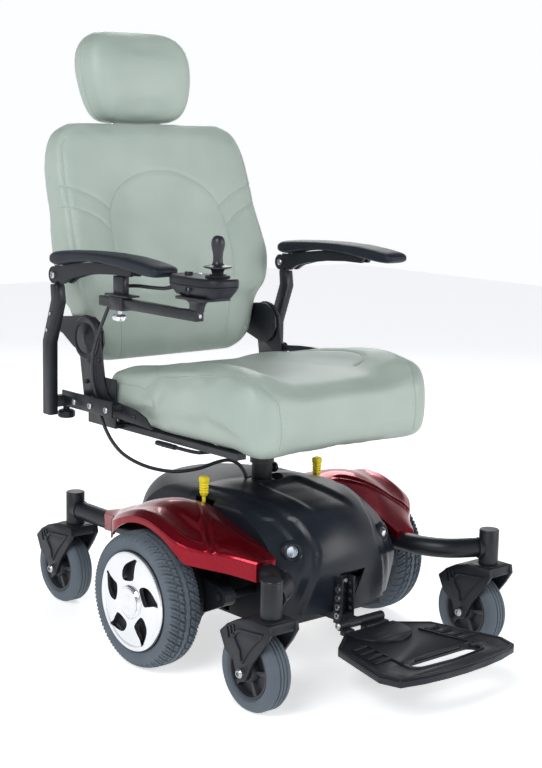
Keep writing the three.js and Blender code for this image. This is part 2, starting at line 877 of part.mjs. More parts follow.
function makeJoystickBracket() {
  return join(
    box(-305.5, -286.5, -152, 145, 672.5, 691.5),
    box(-309, -283, 70, 106, 669, 695),
    box(-303, -289, 74, 102, 694, 733 - gap),
    box(-305, -287, -152, -130, 691, 711),
    box(-306, -250, -175, -100, 709, pod.bottom - gap),
  );
}

function makeJoystickPod() {
  const levels = [
    [pod.bottom, 12],
    [722, 3],
    [731, 1],
    [734, 0],
    [745, 0],
    [pod.top, 4],
  ];
  const rings = levels.map(([z, inset]) => {
    const place = (x, y) => [pod.x + x, pod.y + y, z];
    return roundRing(pod.halfX - inset, pod.halfY - inset, 3.4, 16, place);
  });
  const { x, y } = stickPivot;
  return cut(
    join(loft(rings), rodZ(20.5, pod.top - 1, 760, x, y, 18)),
    rodZ(15.5, 727, 763, x, y, 18),
    rodZ(6, pod.top - 4, 763, pod.x + 12, pod.y + 26, 12),
    rodZ(8, pod.top - 4, 763, pod.x - 12, pod.y + 26, 12),
  );
}

function makeGimbal() {
  const { x, y, z } = stickPivot;
  return cut(rodZ(12, z - 3, z + 3, x, y, 14), rodZ(8.5, z - 5, z + 5, x, y, 12));
}

function makeStick() {
  const { x, y } = stickPivot;
  const grip = [
    [0, 733],
    [4.5, 733],
    [4.5, 768],
    [25, 768],
    [25, 771],
    [10, 774],
    [7.5, 781],
    [8, 794],
    [11, 802],
    [12, 811],
    [9, 820],
    [0, 825],
  ];
  return lathe(grip, 12).rotateX(Math.PI / 2).translate(x, y, 0);
}

function addJoystick() {
  add("joystick_bracket", makeJoystickBracket(), paint.frame);
  add("joystick_pod", makeJoystickPod(), paint.plastic);
  add("joystick_gimbal", makeGimbal(), paint.plastic);
  add("joystick_stick", makeStick(), paint.plastic);
  const button = rodZ(5.5, pod.top - 2.2, pod.top + 1.2, pod.x + 12, pod.y + 26, 12);
  add("power_button", button, paint.steel);
  const dial = rodZ(7.5, pod.top - 3.5, pod.top + 6, pod.x - 12, pod.y + 26, 12);
  add("speed_knob", dial, paint.plastic);
  const knob = join(rodZ(4, 660, 669 - gap, -296, 88, 8), rodZ(13, 648, 661, -296, 88, 12));
  add("thumb_knob", knob, paint.chrome);
}

// Joystick lead: the upper stretch rides on the arm, the lower one hangs from the seat down to the shroud

const upperCable = [
  [-273, -58.6, 725],
  [-274, -45, 723],
  [-275, -20, 718],
  [-275, 20, 716],
  [-275, 60, 715],
  [-275, 95, 711],
  [-276, 122, 701],
  [-277, 140, 686],
  [-278, 150, 668],
];

const lowerCable = [
  [-278.2, 152, 664.6],
  [-279, 163, 645],
  [-279, 180, 616],
  [-277, 200, 580],
  [-272, 214, 545],
  [-264, 222, 510],
  [-256, 222, 478],
  [-253, 214, 448],
  [-250, 200, 418],
  [-240, 184, 388],
  [-222, 167, 364],
  [-190, 141, 344],
  [-150, 110, 335],
  [-112, 80, 341],
  [-82, 56, 355],
  [-62, 40, 359],
  [-47, 28, 349],
  [-37, 20, 328],
  [-33.5, 17, 305],
  [-33, 16, 286],
];

function addCables() {
  add("cable_upper", tube(upperCable, cableRadius, 8, 9), paint.cable);
  add("cable_lower", tube(lowerCable, cableRadius, 8, 26), paint.cable);
}

addDrive();
addCasters();
addChassis();
addBody();
addFootrest();
addSeat();
addBack();
addArms();
addJoystick();
addCables();

export default object;
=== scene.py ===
import json
import math
import bmesh
import bpy
from mathutils import Matrix, Vector
from mathutils.bvhtree import BVHTree
from mathutils.kdtree import KDTree


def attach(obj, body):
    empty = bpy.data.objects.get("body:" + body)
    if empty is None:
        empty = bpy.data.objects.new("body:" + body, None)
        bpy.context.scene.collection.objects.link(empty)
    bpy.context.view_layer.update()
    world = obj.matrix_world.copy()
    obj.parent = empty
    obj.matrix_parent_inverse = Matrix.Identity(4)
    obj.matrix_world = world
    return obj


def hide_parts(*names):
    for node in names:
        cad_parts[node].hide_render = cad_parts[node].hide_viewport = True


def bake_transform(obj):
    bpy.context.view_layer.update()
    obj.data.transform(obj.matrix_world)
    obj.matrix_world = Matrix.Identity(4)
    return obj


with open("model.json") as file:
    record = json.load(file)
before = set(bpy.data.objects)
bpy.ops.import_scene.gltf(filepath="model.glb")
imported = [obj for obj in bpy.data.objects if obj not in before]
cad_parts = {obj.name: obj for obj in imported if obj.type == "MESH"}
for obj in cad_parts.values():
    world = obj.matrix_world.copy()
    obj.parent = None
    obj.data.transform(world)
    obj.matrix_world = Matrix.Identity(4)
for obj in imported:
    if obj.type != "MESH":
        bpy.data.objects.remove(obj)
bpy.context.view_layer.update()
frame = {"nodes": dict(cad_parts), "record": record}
mm = 0.001  # lengths are in millimetres until a mesh is made
sides = {"right": -1, "left": 1}
crease = 35  # degrees, where a surface keeps a sharp edge


view = {
    "place": (-1.96880, -2.25885, 1.01966),
    "turn": 41.167,  # degrees to the right of +Y
    "down": 9.6155,
    "roll": 1.2,
    "lens": 72.23,
    "sensor": 36,
    "farthest": 30,
}


def makeCamera():
    turn, down, roll = (math.radians(view[k]) for k in ("turn", "down", "roll"))
    level = Vector((math.sin(turn), math.cos(turn), 0))
    ahead = level * math.cos(down) - Vector((0, 0, math.sin(down)))
    right = Vector((math.cos(turn), -math.sin(turn), 0))
    up = right.cross(ahead)
    rolledRight = right * math.cos(roll) + up * math.sin(roll)
    rolledUp = up * math.cos(roll) - right * math.sin(roll)
    data = bpy.data.cameras.new("camera")
    data.sensor_fit = "VERTICAL"
    data.sensor_height = view["sensor"]
    data.lens = view["lens"]
    data.clip_end = view["farthest"]
    camera = bpy.data.objects.new("camera", data)
    bpy.context.scene.collection.objects.link(camera)
    basis = Matrix((rolledRight, rolledUp, -ahead)).transposed()
    camera.matrix_world = Matrix.Translation(view["place"]) @ basis.to_4x4()
    bpy.context.scene.camera = camera


studio = {
    "lights": {  # place, size and power
        "key": ((-2.6, -1.2, 2.6), 1.5, 62),
        "fill": ((1.6, -2.8, 1.5), 1.4, 30),
        "rim": ((1.8, 2.2, 2.2), 1.6, 34),
    },
    "aim": (0, 0, 0.5),
    "sky": ((0.12, (0.98, 0.99, 1.0)), (0.60, (0.16, 0.175, 0.20))),  # heights and colors, horizon first
    "floor": {"half": 6000, "color": (0.90, 0.91, 0.92), "roughness": 0.55, "glow": 0.58},
}


def makeStudio():
    bpy.context.scene.view_settings.view_transform = "Standard"
    for name, (place, size, power) in studio["lights"].items():
        data = bpy.data.lights.new(name, "AREA")
        data.size = size
        data.energy = power
        light = bpy.data.objects.new(name, data)
        bpy.context.scene.collection.objects.link(light)
        light.location = place
        aim = Vector(studio["aim"]) - Vector(place)
        light.rotation_euler = aim.to_track_quat("-Z", "Y").to_euler()
    world = bpy.data.worlds.new("studio")
    world.use_nodes = True
    tree = world.node_tree
    whole = tree.nodes.new("ShaderNodeTexCoord").outputs["Generated"]
    direction = addNode(tree, "ShaderNodeSeparateXYZ", [(0, whole)])
    sky = ramped(tree, direction.outputs["Z"], studio["sky"])
    tree.links.new(sky, tree.nodes["Background"].inputs["Color"])
    bpy.context.scene.world = world
    floor, half = studio["floor"], studio["floor"]["half"]
    corners = [(-half, -half, 0), (half, -half, 0), (half, half, 0), (-half, half, 0)]
    ground = buildMesh("floor", corners, [(0, 1, 2, 3)])
    paint, _, shader = newMaterial("floorPaint", Roughness=floor["roughness"], Emission_Strength=floor["glow"])
    shader.inputs["Base Color"].default_value = (*floor["color"], 1)
    shader.inputs["Emission Color"].default_value = (1, 1, 1, 1)
    ground.data.materials.append(paint)


def buildMesh(name, points, faces, sharp=crease):
    mesh = bpy.data.meshes.new(name)
    mesh.from_pydata([tuple(c * mm for c in p) for p in points], [], faces)
    piece = bpy.data.objects.new(name, mesh)
    bpy.context.scene.collection.objects.link(piece)
    shade(piece, sharp)
    return piece


def creased(mesh, sharp):
    for face in mesh.polygons:
        face.use_smooth = True
    mesh.set_sharp_from_angle(angle=math.radians(sharp))


def shade(piece, sharp=crease):
    shape = bmesh.new()
    shape.from_mesh(piece.data)
    bmesh.ops.remove_doubles(shape, verts=shape.verts, dist=1e-6)
    bmesh.ops.recalc_face_normals(shape, faces=shape.faces)
    shape.to_mesh(piece.data)
    shape.free()
    creased(piece.data, sharp)


def bake(piece, sharp=crease):
    # applies the modifiers, or turns a curve into a mesh
    graph = bpy.context.evaluated_depsgraph_get()
    mesh = bpy.data.meshes.new_from_object(piece.evaluated_get(graph))
    if piece.type == "MESH":
        old = piece.data
        piece.modifiers.clear()
        piece.data = mesh
        bpy.data.meshes.remove(old)
        shade(piece, sharp)
        return piece
    name = piece.name
    bpy.data.objects.remove(piece)
    made = bpy.data.objects.new(name, mesh)
    bpy.context.scene.collection.objects.link(made)
    return made


def rounded(piece, width):
    bevel = piece.modifiers.new("bevel", "BEVEL")
    bevel.width = width * mm
    bevel.segments = 2
    bevel.limit_method = "ANGLE"
    bevel.angle_limit = math.radians(32)
    bevel.harden_normals = True
    return piece


def smoothed(piece):
    modifier = piece.modifiers.new("subdivision", "SUBSURF")
    modifier.levels = modifier.render_levels = 1
    return piece


def thickened(piece, thickness, offset):
    modifier = piece.modifiers.new("wall", "SOLIDIFY")
    modifier.thickness = thickness * mm
    modifier.offset = offset
    return piece


def carved(piece, cutters):
    for cutter in cutters:
        modifier = piece.modifiers.new("cut", "BOOLEAN")
        modifier.operation = "DIFFERENCE"
        modifier.solver = "EXACT"
        modifier.object = cutter
    bake(piece)
    for cutter in cutters:
        bpy.data.objects.remove(cutter)
    return piece


def joined(pieces):
    whole = pieces[0]
    shape = bmesh.new()
    for piece in pieces:
        if piece.modifiers:
            bake(piece)
        shape.from_mesh(piece.data)
    shape.to_mesh(whole.data)
    shape.free()
    for piece in pieces[1:]:
        bpy.data.objects.remove(piece)
    creased(whole.data, crease)
    return whole


def moved(piece, matrix):
    piece.data.transform(matrix)
    if matrix.determinant() < 0:
        piece.data.flip_normals()
    return piece


def shifted(piece, x=0, y=0, z=0):
    return moved(piece, Matrix.Translation((x * mm, y * mm, z * mm)))


def mirrored(piece, side):
    return piece if side > 0 else moved(piece, Matrix.Scale(-1, 4, (1, 0, 0)))


def block(name, x0, x1, y0, y1, z0, z1, bevel=0):
    points = [(x, y, z) for z in (z0, z1) for y in (y0, y1) for x in (x0, x1)]
    faces = [(0, 2, 3, 1), (4, 5, 7, 6), (0, 1, 5, 4), (2, 6, 7, 3), (0, 4, 6, 2), (1, 3, 7, 5)]
    piece = buildMesh(name, points, faces)
    return rounded(piece, bevel) if bevel else piece


# turns a drawing on XY so that it lies across the named axis
planes = {
    "x": Matrix(((0, 0, 1, 0), (1, 0, 0, 0), (0, 1, 0, 0), (0, 0, 0, 1))),
    "y": Matrix(((1, 0, 0, 0), (0, 0, -1, 0), (0, 1, 0, 0), (0, 0, 0, 1))),
    "z": Matrix.Identity(4),
}


def slab(name, outlines, axis, low, high, bevel=0.8, smooth=0):
    # a plate between two heights; a second outline is a hole
    curve = bpy.data.curves.new(name, "CURVE")
    curve.dimensions = "2D"
    curve.fill_mode = "BOTH"
    curve.extrude = (high - low) / 2 * mm
    for outline in outlines:
        points = softLoop(outline, smooth) if smooth else outline
        spline = curve.splines.new("POLY")
        spline.points.add(len(points) - 1)
        for point, (a, b) in zip(spline.points, points):
            point.co = (a * mm, b * mm, 0, 1)
        spline.use_cyclic_u = True
    flat = bpy.data.objects.new(name, curve)
    bpy.context.scene.collection.objects.link(flat)
    piece = bake(flat)
    middle = (high + low) / 2
    along = Matrix.Translation((0, 0, (-middle if axis == "y" else middle) * mm))
    piece.data.transform(planes[axis] @ along)
    shade(piece)
    return rounded(piece, bevel) if bevel > 0.3 else piece


def quads(rows, count, loopRows=False, loopCount=True):
    # the faces of a grid of points, row after row
    faces = []
    for r in range(rows if loopRows else rows - 1):
        here, there = r * count, (r + 1) % rows * count
        for i in range(count if loopCount else count - 1):
            j = (i + 1) % count
            faces.append((here + i, here + j, there + j, there + i))
    return faces


def turned(name, profile, centre, axis="x", steps=48):
    # a lathe: the profile holds radius and distance along the axis
    closed = profile[0][0] > 0 and profile[-1][0] > 0
    points = []
    for i in range(steps):
        angle = 2 * math.pi * i / steps
        for radius, along in profile:
            u, v = radius * math.cos(angle), radius * math.sin(angle)
            offset = {"x": (along, u, v), "y": (v, along, u), "z": (u, v, along)}[axis]
            points.append(tuple(c + o for c, o in zip(centre, offset)))
    return buildMesh(name, points, quads(steps, len(profile), True, closed))


def rod(name, radius, low, high, centre, axis, steps):
    return turned(name, [(0, low), (radius, low), (radius, high), (0, high)], centre, axis, steps)


def flow(a, b, c, d, t):
    # the smooth curve from b to c, where a and d are their neighbours
    return 0.5 * (2 * b + (c - a) * t + (2 * a - 5 * b + 4 * c - d) * t * t + (3 * b - a - 3 * c + d) * t**3)


def splinePoints(points, steps, closed=False):
    points = [Vector(p) for p in points]
    count = len(points)
    made = []
    for i in range(count if closed else count - 1):
        if closed:
            a, b, c, d = (points[(i + k) % count] for k in (-1, 0, 1, 2))
        else:
            b, c = points[i], points[i + 1]
            a = points[i - 1] if i else b * 2 - c
            d = points[i + 2] if i + 2 < count else c * 2 - b
        made += [flow(a, b, c, d, k / steps) for k in range(steps)]
    return made if closed else made + [points[-1]]


def softLoop(outline, steps):
    return [(p.x, p.y) for p in splinePoints([(a, b, 0) for a, b in outline], steps, closed=True)]


def arc(centre, radius, start, end, steps=10):
    angles = [math.radians(start + (end - start) * i / steps) for i in range(steps + 1)]
    return [(centre[0] + radius * math.cos(a), centre[1] + radius * math.sin(a)) for a in angles]


def pipe(name, points, radius, sides):
    points = [Vector(p) for p in points]
    rings = []
    normal = None
    for i, point in enumerate(points):
        ahead = (points[min(i + 1, len(points) - 1)] - points[max(i - 1, 0)]).normalized()
        if normal is None:
            normal = ahead.orthogonal().normalized()
        normal = (normal - ahead * normal.dot(ahead)).normalized()
        across = ahead.cross(normal)
        turns = [2 * math.pi * k / sides for k in range(sides)]
        rings.append([point + (normal * math.cos(a) + across * math.sin(a)) * radius for a in turns])
    return loft(name, rings)


def loft(name, rings, sharp=40):
    # a closed skin over the rings, with a face on each end
    count, last = len(rings[0]), (len(rings) - 1) * len(rings[0])
    faces = quads(len(rings), count) + [tuple(reversed(range(count))), tuple(range(last, last + count))]
    return buildMesh(name, [tuple(p) for ring in rings for p in ring], faces, sharp)


def squarish(halfX, halfY, power, count):
    # a loop between an ellipse, power 2, and a rectangle
    ring = []
    for i in range(count):
        turn = 2 * math.pi * (i + 0.5) / count
        c, s = math.cos(turn), math.sin(turn)
        ring.append(tuple(math.copysign(abs(v) ** (2 / power) * half, v) for v, half in ((c, halfX), (s, halfY))))
    return ring


def stacked(name, x, y, levels, stretch, power, count):
    rings = [[(x + a, y + b, z) for a, b in squarish(size, size * stretch, power, count)] for z, size in levels]
    return loft(name, rings)


def fluted(name, x, y, levels, ripple, count):
    # ripple gives the radius from a level's size and the point's number
    rings = []
    for z, size in levels:
        ring = [(ripple(size, k), 2 * math.pi * k / count) for k in range(count)]
        rings.append([(x + r * math.cos(a), y + r * math.sin(a), z) for r, a in ring])
    return loft(name, rings)


def between(value, table):
    # reads a table of pairs, straight from one to the next
    if value <= table[0][0]:
        return table[0][1]
    for (a, p), (b, q) in zip(table, table[1:]):
        if value <= b:
            return p + (q - p) * (value - a) / (b - a)
    return table[-1][1]


def flowRows(rows, steps):
    # one smooth run of values through the given rows
    made = []
    for i in range(len(rows) - 1):
        near = [rows[min(max(i + k, 0), len(rows) - 1)] for k in (-1, 0, 1, 2)]
        made += [tuple(flow(*four, k / steps) for four in zip(*near)) for k in range(steps)]
    return made + [tuple(rows[-1])]


def roundedRing(halfX, halfY, radius, count):
    # a rounded rectangle, its points spread evenly along the outline
    radius = min(radius, halfX, halfY)
    corners = []
    for cx, cy, start in ((1, -1, -90), (1, 1, 0), (-1, 1, 90), (-1, -1, 180)):
        corners += arc((cx * (halfX - radius), cy * (halfY - radius)), radius, start, start + 90, 8)
    corners.append(corners[0])
    lengths = [math.dist(a, b) for a, b in zip(corners, corners[1:])]
    total = sum(lengths)
    ring, walked, k = [], 0.0, 0
    for i in range(count):
        goal = total * i / count
        while walked + lengths[k] < goal:
            walked += lengths[k]
            k += 1
        t = (goal - walked) / max(lengths[k], 1e-9)
        (ax, ay), (bx, by) = corners[k], corners[k + 1]
        ring.append((ax + (bx - ax) * t, ay + (by - ay) * t))
    return ring


def ease(value):
    # a soft step from 0 to 1
    value = min(max(value, 0), 1)
    return value * value * (3 - 2 * value)


def bolt(name, place, axis, radius, height, side=1):
    # a screw head with a socket in it
    profile = [(0, 0), (radius, 0), (radius, height * 0.6), (radius * 0.7, height), (radius * 0.5, height)]
    profile += [(radius * 0.45, height * 0.45), (0, height * 0.45)]
    return turned(name, [(r, a * side) for r, a in profile], place, axis, 18)


def newGroup(name, inputs, outputs):
    group = bpy.data.node_groups.new(name, "ShaderNodeTree")
    for title, value in inputs.items():
        socket = group.interface.new_socket(name=title, in_out="INPUT", socket_type="NodeSocketFloat")
        socket.default_value = value
    for title in outputs:
        group.interface.new_socket(name=title, in_out="OUTPUT", socket_type="NodeSocketFloat")
    return group, group.nodes.new("NodeGroupInput"), group.nodes.new("NodeGroupOutput")


def addNode(tree, kind, links=(), **values):
    node = tree.nodes.new(kind)
    for key, value in values.items():
        setattr(node, key, value)
    for socket, source in links:
        if isinstance(source, bpy.types.NodeSocket):
            tree.links.new(source, node.inputs[socket])
        else:
            node.inputs[socket].default_value = source
    return node


def product(tree, a, b):
    return addNode(tree, "ShaderNodeMath", [(0, a), (1, b)], operation="MULTIPLY").outputs[0]


def noise(tree, place, scale, detail):
    links = [("Vector", place), ("Scale", scale), ("Detail", detail)]
    return addNode(tree, "ShaderNodeTexNoise", links).outputs["Fac"]


def objectPlace(tree):
    return tree.nodes.new("ShaderNodeTexCoord").outputs["Object"]


def makeHideGrain():
    # the pores of coated fabric, and a broad change of tone
    group, start, end = newGroup("hideGrain", {"Scale": 900.0, "Depth": 0.2}, ("Height", "Tone"))
    place = objectPlace(group)
    cells = addNode(group, "ShaderNodeTexVoronoi", [("Vector", place), ("Scale", start.outputs["Scale"])],
                    feature="DISTANCE_TO_EDGE")
    pores = addNode(group, "ShaderNodeMapRange", [("Value", cells.outputs["Distance"]), ("From Max", 0.25)])
    group.links.new(product(group, pores.outputs["Result"], start.outputs["Depth"]), end.inputs["Height"])
    group.links.new(noise(group, place, 9.0, 3.0), end.inputs["Tone"])
    return group


def makeMouldGrain():
    # the fine spark texture of moulded plastic
    group, start, end = newGroup("mouldGrain", {"Scale": 1500.0}, ("Height", "Tone"))
    place = objectPlace(group)
    group.links.new(noise(group, place, start.outputs["Scale"], 2.0), end.inputs["Height"])
    group.links.new(noise(group, place, 14.0, 4.0), end.inputs["Tone"])
    return group


def makeEdgeRub():
    # patches along the outer edges where paint wears
    group, start, end = newGroup("edgeRub", {"Amount": 0.5}, ("Mask",))
    point = group.nodes.new("ShaderNodeNewGeometry").outputs["Pointiness"]
    edge = addNode(group, "ShaderNodeMapRange", [("Value", point), ("From Min", 0.52), ("From Max", 0.62)])
    rough = product(group, edge.outputs["Result"], noise(group, objectPlace(group), 60.0, 4.0))
    group.links.new(product(group, rough, start.outputs["Amount"]), end.inputs["Mask"])
    return group


hideGrain = makeHideGrain()
mouldGrain = makeMouldGrain()
edgeRub = makeEdgeRub()


def newMaterial(name, **values):
    material = bpy.data.materials.new(name)
    material.use_nodes = True
    tree = material.node_tree
    shader = tree.nodes["Principled BSDF"]
    for key, value in values.items():
        shader.inputs[key.replace("_", " ")].default_value = value
    return material, tree, shader


def useGroup(tree, group, **values):
    node = tree.nodes.new("ShaderNodeGroup")
    node.node_tree = group
    for key, value in values.items():
        node.inputs[key].default_value = value
    return node


def ramped(tree, factor, stops):
    # a color ramp, each of its stops a position and a color
    ramp = tree.nodes.new("ShaderNodeValToRGB")
    for element, (position, color) in zip(ramp.color_ramp.elements, stops):
        element.position = position
        element.color = (*color, 1)
    tree.links.new(factor, ramp.inputs["Fac"])
    return ramp.outputs["Color"]


def mixedColor(tree, factor, low, high):
    return ramped(tree, factor, ((0.3, low), (0.7, high)))


def rangeOf(tree, factor, low, high):
    node = addNode(tree, "ShaderNodeMapRange", [("Value", factor), ("To Min", low), ("To Max", high)])
    return node.outputs["Result"]


def bumped(tree, shader, height, distance, strength):
    bump = addNode(tree, "ShaderNodeBump", [("Height", height), ("Distance", distance), ("Strength", strength)])
    tree.links.new(bump.outputs["Normal"], shader.inputs["Normal"])


def makeVinyl():
    material, tree, shader = newMaterial("sageVinyl", Specular_IOR_Level=0.5, Coat_Weight=0.12, Coat_Roughness=0.35)
    grain = useGroup(tree, hideGrain, Scale=620.0, Depth=1.0)
    tone = mixedColor(tree, grain.outputs["Tone"], (0.33, 0.40, 0.355), (0.38, 0.45, 0.40))
    tree.links.new(tone, shader.inputs["Base Color"])
    tree.links.new(rangeOf(tree, grain.outputs["Tone"], 0.34, 0.46), shader.inputs["Roughness"])
    bumped(tree, shader, grain.outputs["Height"], 0.00022, 0.55)
    return material


def makeThread():
    material, tree, shader = newMaterial("sageThread", Roughness=0.75)
    grain = useGroup(tree, mouldGrain, Scale=2600.0)
    tone = mixedColor(tree, grain.outputs["Height"], (0.47, 0.52, 0.46), (0.60, 0.64, 0.58))
    tree.links.new(tone, shader.inputs["Base Color"])
    return material


def makeMoulded(name, low, high, roughness, bumpDepth, scale=1500.0, rub=0.0, **values):
    material, tree, shader = newMaterial(name, **values)
    grain = useGroup(tree, mouldGrain, Scale=scale)
    color = mixedColor(tree, grain.outputs["Tone"], low, high)
    if rub:
        mask = useGroup(tree, edgeRub, Amount=rub).outputs["Mask"]
        mix = addNode(tree, "ShaderNodeMix", [(0, mask), (6, color), (7, (0.32, 0.33, 0.35, 1))], data_type="RGBA")
        color = mix.outputs[2]
    tree.links.new(color, shader.inputs["Base Color"])
    tree.links.new(rangeOf(tree, grain.outputs["Tone"], roughness[0], roughness[1]), shader.inputs["Roughness"])
    bumped(tree, shader, grain.outputs["Height"], bumpDepth, 0.6)
    return material


def makeCandyRed():
    material, tree, shader = newMaterial("candyRed", Metallic=0.85, Coat_Weight=0.5, Coat_IOR=1.35,
                                        Coat_Roughness=0.03, Roughness=0.28)
    flakes = addNode(tree, "ShaderNodeTexVoronoi", [("Vector", objectPlace(tree)), ("Scale", 2600.0)])
    split = addNode(tree, "ShaderNodeSeparateColor", [("Color", flakes.outputs["Color"])])
    color = mixedColor(tree, split.outputs[0], (0.17, 0.0006, 0.008), (0.34, 0.001, 0.014))
    tree.links.new(color, shader.inputs["Base Color"])
    tree.links.new(rangeOf(tree, split.outputs[1], 0.22, 0.36), shader.inputs["Roughness"])
    return material


def makeBright(name, color, roughness):
    material, tree, shader = newMaterial(name, Metallic=1.0)
    grain = useGroup(tree, mouldGrain, Scale=420.0)
    tone = mixedColor(tree, grain.outputs["Tone"], tuple(c * 0.93 for c in color), color)
    tree.links.new(tone, shader.inputs["Base Color"])
    tree.links.new(rangeOf(tree, grain.outputs["Tone"], roughness * 0.8, roughness * 1.3), shader.inputs["Roughness"])
    return material


def makeLens():
    material, tree, shader = newMaterial("lens", Roughness=0.03, IOR=1.45, Transmission_Weight=1.0)
    grain = useGroup(tree, mouldGrain, Scale=300.0)
    tone = mixedColor(tree, grain.outputs["Tone"], (0.86, 0.93, 1.0), (0.95, 0.98, 1.0))
    tree.links.new(tone, shader.inputs["Base Color"])
    return material


# name, the two tones, the roughness range, the depth of the grain, and what differs from the rest
mouldings = {
    "charcoal_shell": ("charcoalShell", (0.007, 0.010, 0.016), (0.012, 0.016, 0.024), (0.28, 0.38), 0.00006,
                       {"scale": 1900.0, "Coat_Weight": 0.1, "Coat_Roughness": 0.2, "Specular_IOR_Level": 0.28}),
    "black_plastic": ("blackPlastic", (0.009, 0.011, 0.015), (0.016, 0.019, 0.025), (0.38, 0.50), 0.00010,
                      {"Specular_IOR_Level": 0.28}),
    "black_frame": ("powderCoat", (0.005, 0.006, 0.009), (0.009, 0.011, 0.015), (0.30, 0.42), 0.00008,
                    {"scale": 1100.0, "rub": 0.12, "Specular_IOR_Level": 0.35}),
    "tyre_rubber": ("tyreRubber", (0.072, 0.090, 0.112), (0.100, 0.124, 0.150), (0.62, 0.80), 0.00025,
                    {"scale": 900.0}),
    "rim_plastic": ("rimPlastic", (0.022, 0.025, 0.031), (0.034, 0.037, 0.045), (0.45, 0.6), 0.00010, {}),
    "battery_case": ("batteryCase", (0.05, 0.055, 0.06), (0.07, 0.075, 0.08), (0.5, 0.6), 0.0001, {}),
    "pad_vinyl": ("padVinyl", (0.007, 0.010, 0.017), (0.012, 0.017, 0.027), (0.44, 0.56), 0.00035,
                  {"scale": 700.0, "Specular_IOR_Level": 0.3}),
    "yellow_plastic": ("yellowPlastic", (0.92, 0.74, 0.012), (1.0, 0.84, 0.03), (0.40, 0.52), 0.00008, {}),
    "cable_jacket": ("cableJacket", (0.010, 0.012, 0.017), (0.016, 0.018, 0.024), (0.34, 0.44), 0.00005, {}),
}
finishes = {slot: makeMoulded(*values, **extra) for slot, (*values, extra) in mouldings.items()}
finishes.update(sage_vinyl=makeVinyl(), thread=makeThread(), red_shell=makeCandyRed(), lens=makeLens(),
                chrome=makeBright("chrome", (0.80, 0.81, 0.83), 0.09),
                steel=makeBright("zincSteel", (0.50, 0.51, 0.53), 0.32))


def place(piece, body, slot, *nodes, finish=None):
    piece.data.materials.clear()
    piece.data.materials.append(finishes[finish or slot])
    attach(piece, body)
    if nodes:
        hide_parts(*nodes)
    return piece


def assembled(name, pieces, body, slot, *nodes, side=1, finish=None):
    whole = joined(pieces)
    whole.name = name
    return place(mirrored(whole, side), body, slot, *nodes, finish=finish)


lead = {
    "diameter": 7.2,
    "upper": [(-273, -58.6, 725), (-274, -45, 723), (-275, -20, 718), (-275, 20, 716), (-275, 60, 715),
              (-275, 95, 711), (-276, 122, 701), (-277, 140, 686), (-278, 150, 668)],
    "lower": [(-279, 163, 645), (-279, 180, 616), (-277, 200, 580), (-272, 214, 545), (-264, 222, 510),
              (-256, 222, 478), (-253, 214, 448), (-250, 200, 418), (-240, 184, 388), (-222, 167, 364),
              (-190, 141, 344), (-150, 110, 335), (-112, 80, 341), (-82, 56, 355), (-62, 40, 359), (-47, 28, 349),
              (-37, 20, 328), (-33.5, 17, 305), (-33, 16, 286)],
    "bend": ((-0.2785, 0.152, 0.666), (-0.264, 0.222, 0.50)),  # metres, where it leaves the arm for the seat
    "relief": [(0, -12), (6.5, -12), (6.5, -8), (4.6, 14), (4.0, 14), (4.0, -11), (0, -11)],
    "reliefAt": (-273, -54, 725),
}


def makeLead():
    route = splinePoints(lead["upper"] + lead["lower"], 5)
    piece = pipe("joystick_lead", route, lead["diameter"] / 2, 14)
    piece.data.materials.append(finishes["cable_jacket"])
    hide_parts("cable_upper", "cable_lower")
    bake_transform(piece)
    place(turned("lead_relief", lead["relief"], lead["reliefAt"], "y", 20), "arm_right", "cable_jacket")


makeCamera()
makeLead()
makeStudio()
print("studio made")


driveWheel = {
    "centre": (295, 0, 130), "halfWidth": 35, "shoulder": 121,
    "wall": [(95.5, 29), (99, 32.5), (104, 34.2), (110, 35), (117, 34.6), (122, 33.4)],
    "crown": [(130 - 6 * (abs(i) / 20) ** 3.4, i * 1.58) for i in range(-20, 21)],
    "blocks": 48, "perBlock": 10,
    "dish": [(0, 31), (78, 31), (90, 30), (94.6, 31), (95.2, 34), (94, 37), (90.5, 38.6), (87, 38.2), (84, 36.4),
             (76, 37.2), (60, 39.5), (46, 40.2), (34, 39.4), (32, 38.6), (30.5, 40.5), (29, 42.6), (24, 43.2),
             (0, 43.4)],
    "swirl": [(38, -19), (52, -25), (68, -18), (82, 4), (85, 15), (72, 12), (57, 12), (44, 9)],
    "swirls": 5, "swirlTurn": 20,
    "cap": [(0, 43.3), (27, 42.9), (27.6, 43.9), (26, 44.3), (24.5, 43.7), (14, 43.9), (13, 44.4), (11.5, 44.2),
            (10.5, 43.8), (0, 44.0)],
    "rim": [(12, -30), (26, -30), (30, 2), (84, 6), (88, -27), (92, -30), (95.2, -29), (95.2, 28), (91, 27),
            (86, 20), (30, 18), (12, 20)],
}


def treadDepth(turn, across):
    # grooves cut into the tread: turn counts blocks round the tyre
    edge = abs(across)
    spot = (turn + across / 26) % 1
    depth = 0.0
    if abs(edge - 6 - 0.8 * math.sin(turn * 2 * math.pi)) < 1.6:  # the wavy inner groove
        depth = 5.0
    if abs(edge - 18.5) < 1.4:  # the straight outer groove
        depth = 4.2
    if edge > 7 and spot < 0.22:  # the slots between blocks
        depth = max(depth, 4.6)
    if 8 < edge < 17 and 0.55 < spot < 0.66:  # a sipe in each block
        depth = max(depth, 1.8)
    if edge > 20 and 0.5 < spot < 0.72:  # a notch in each shoulder
        depth = max(depth, 2.6)
    return depth


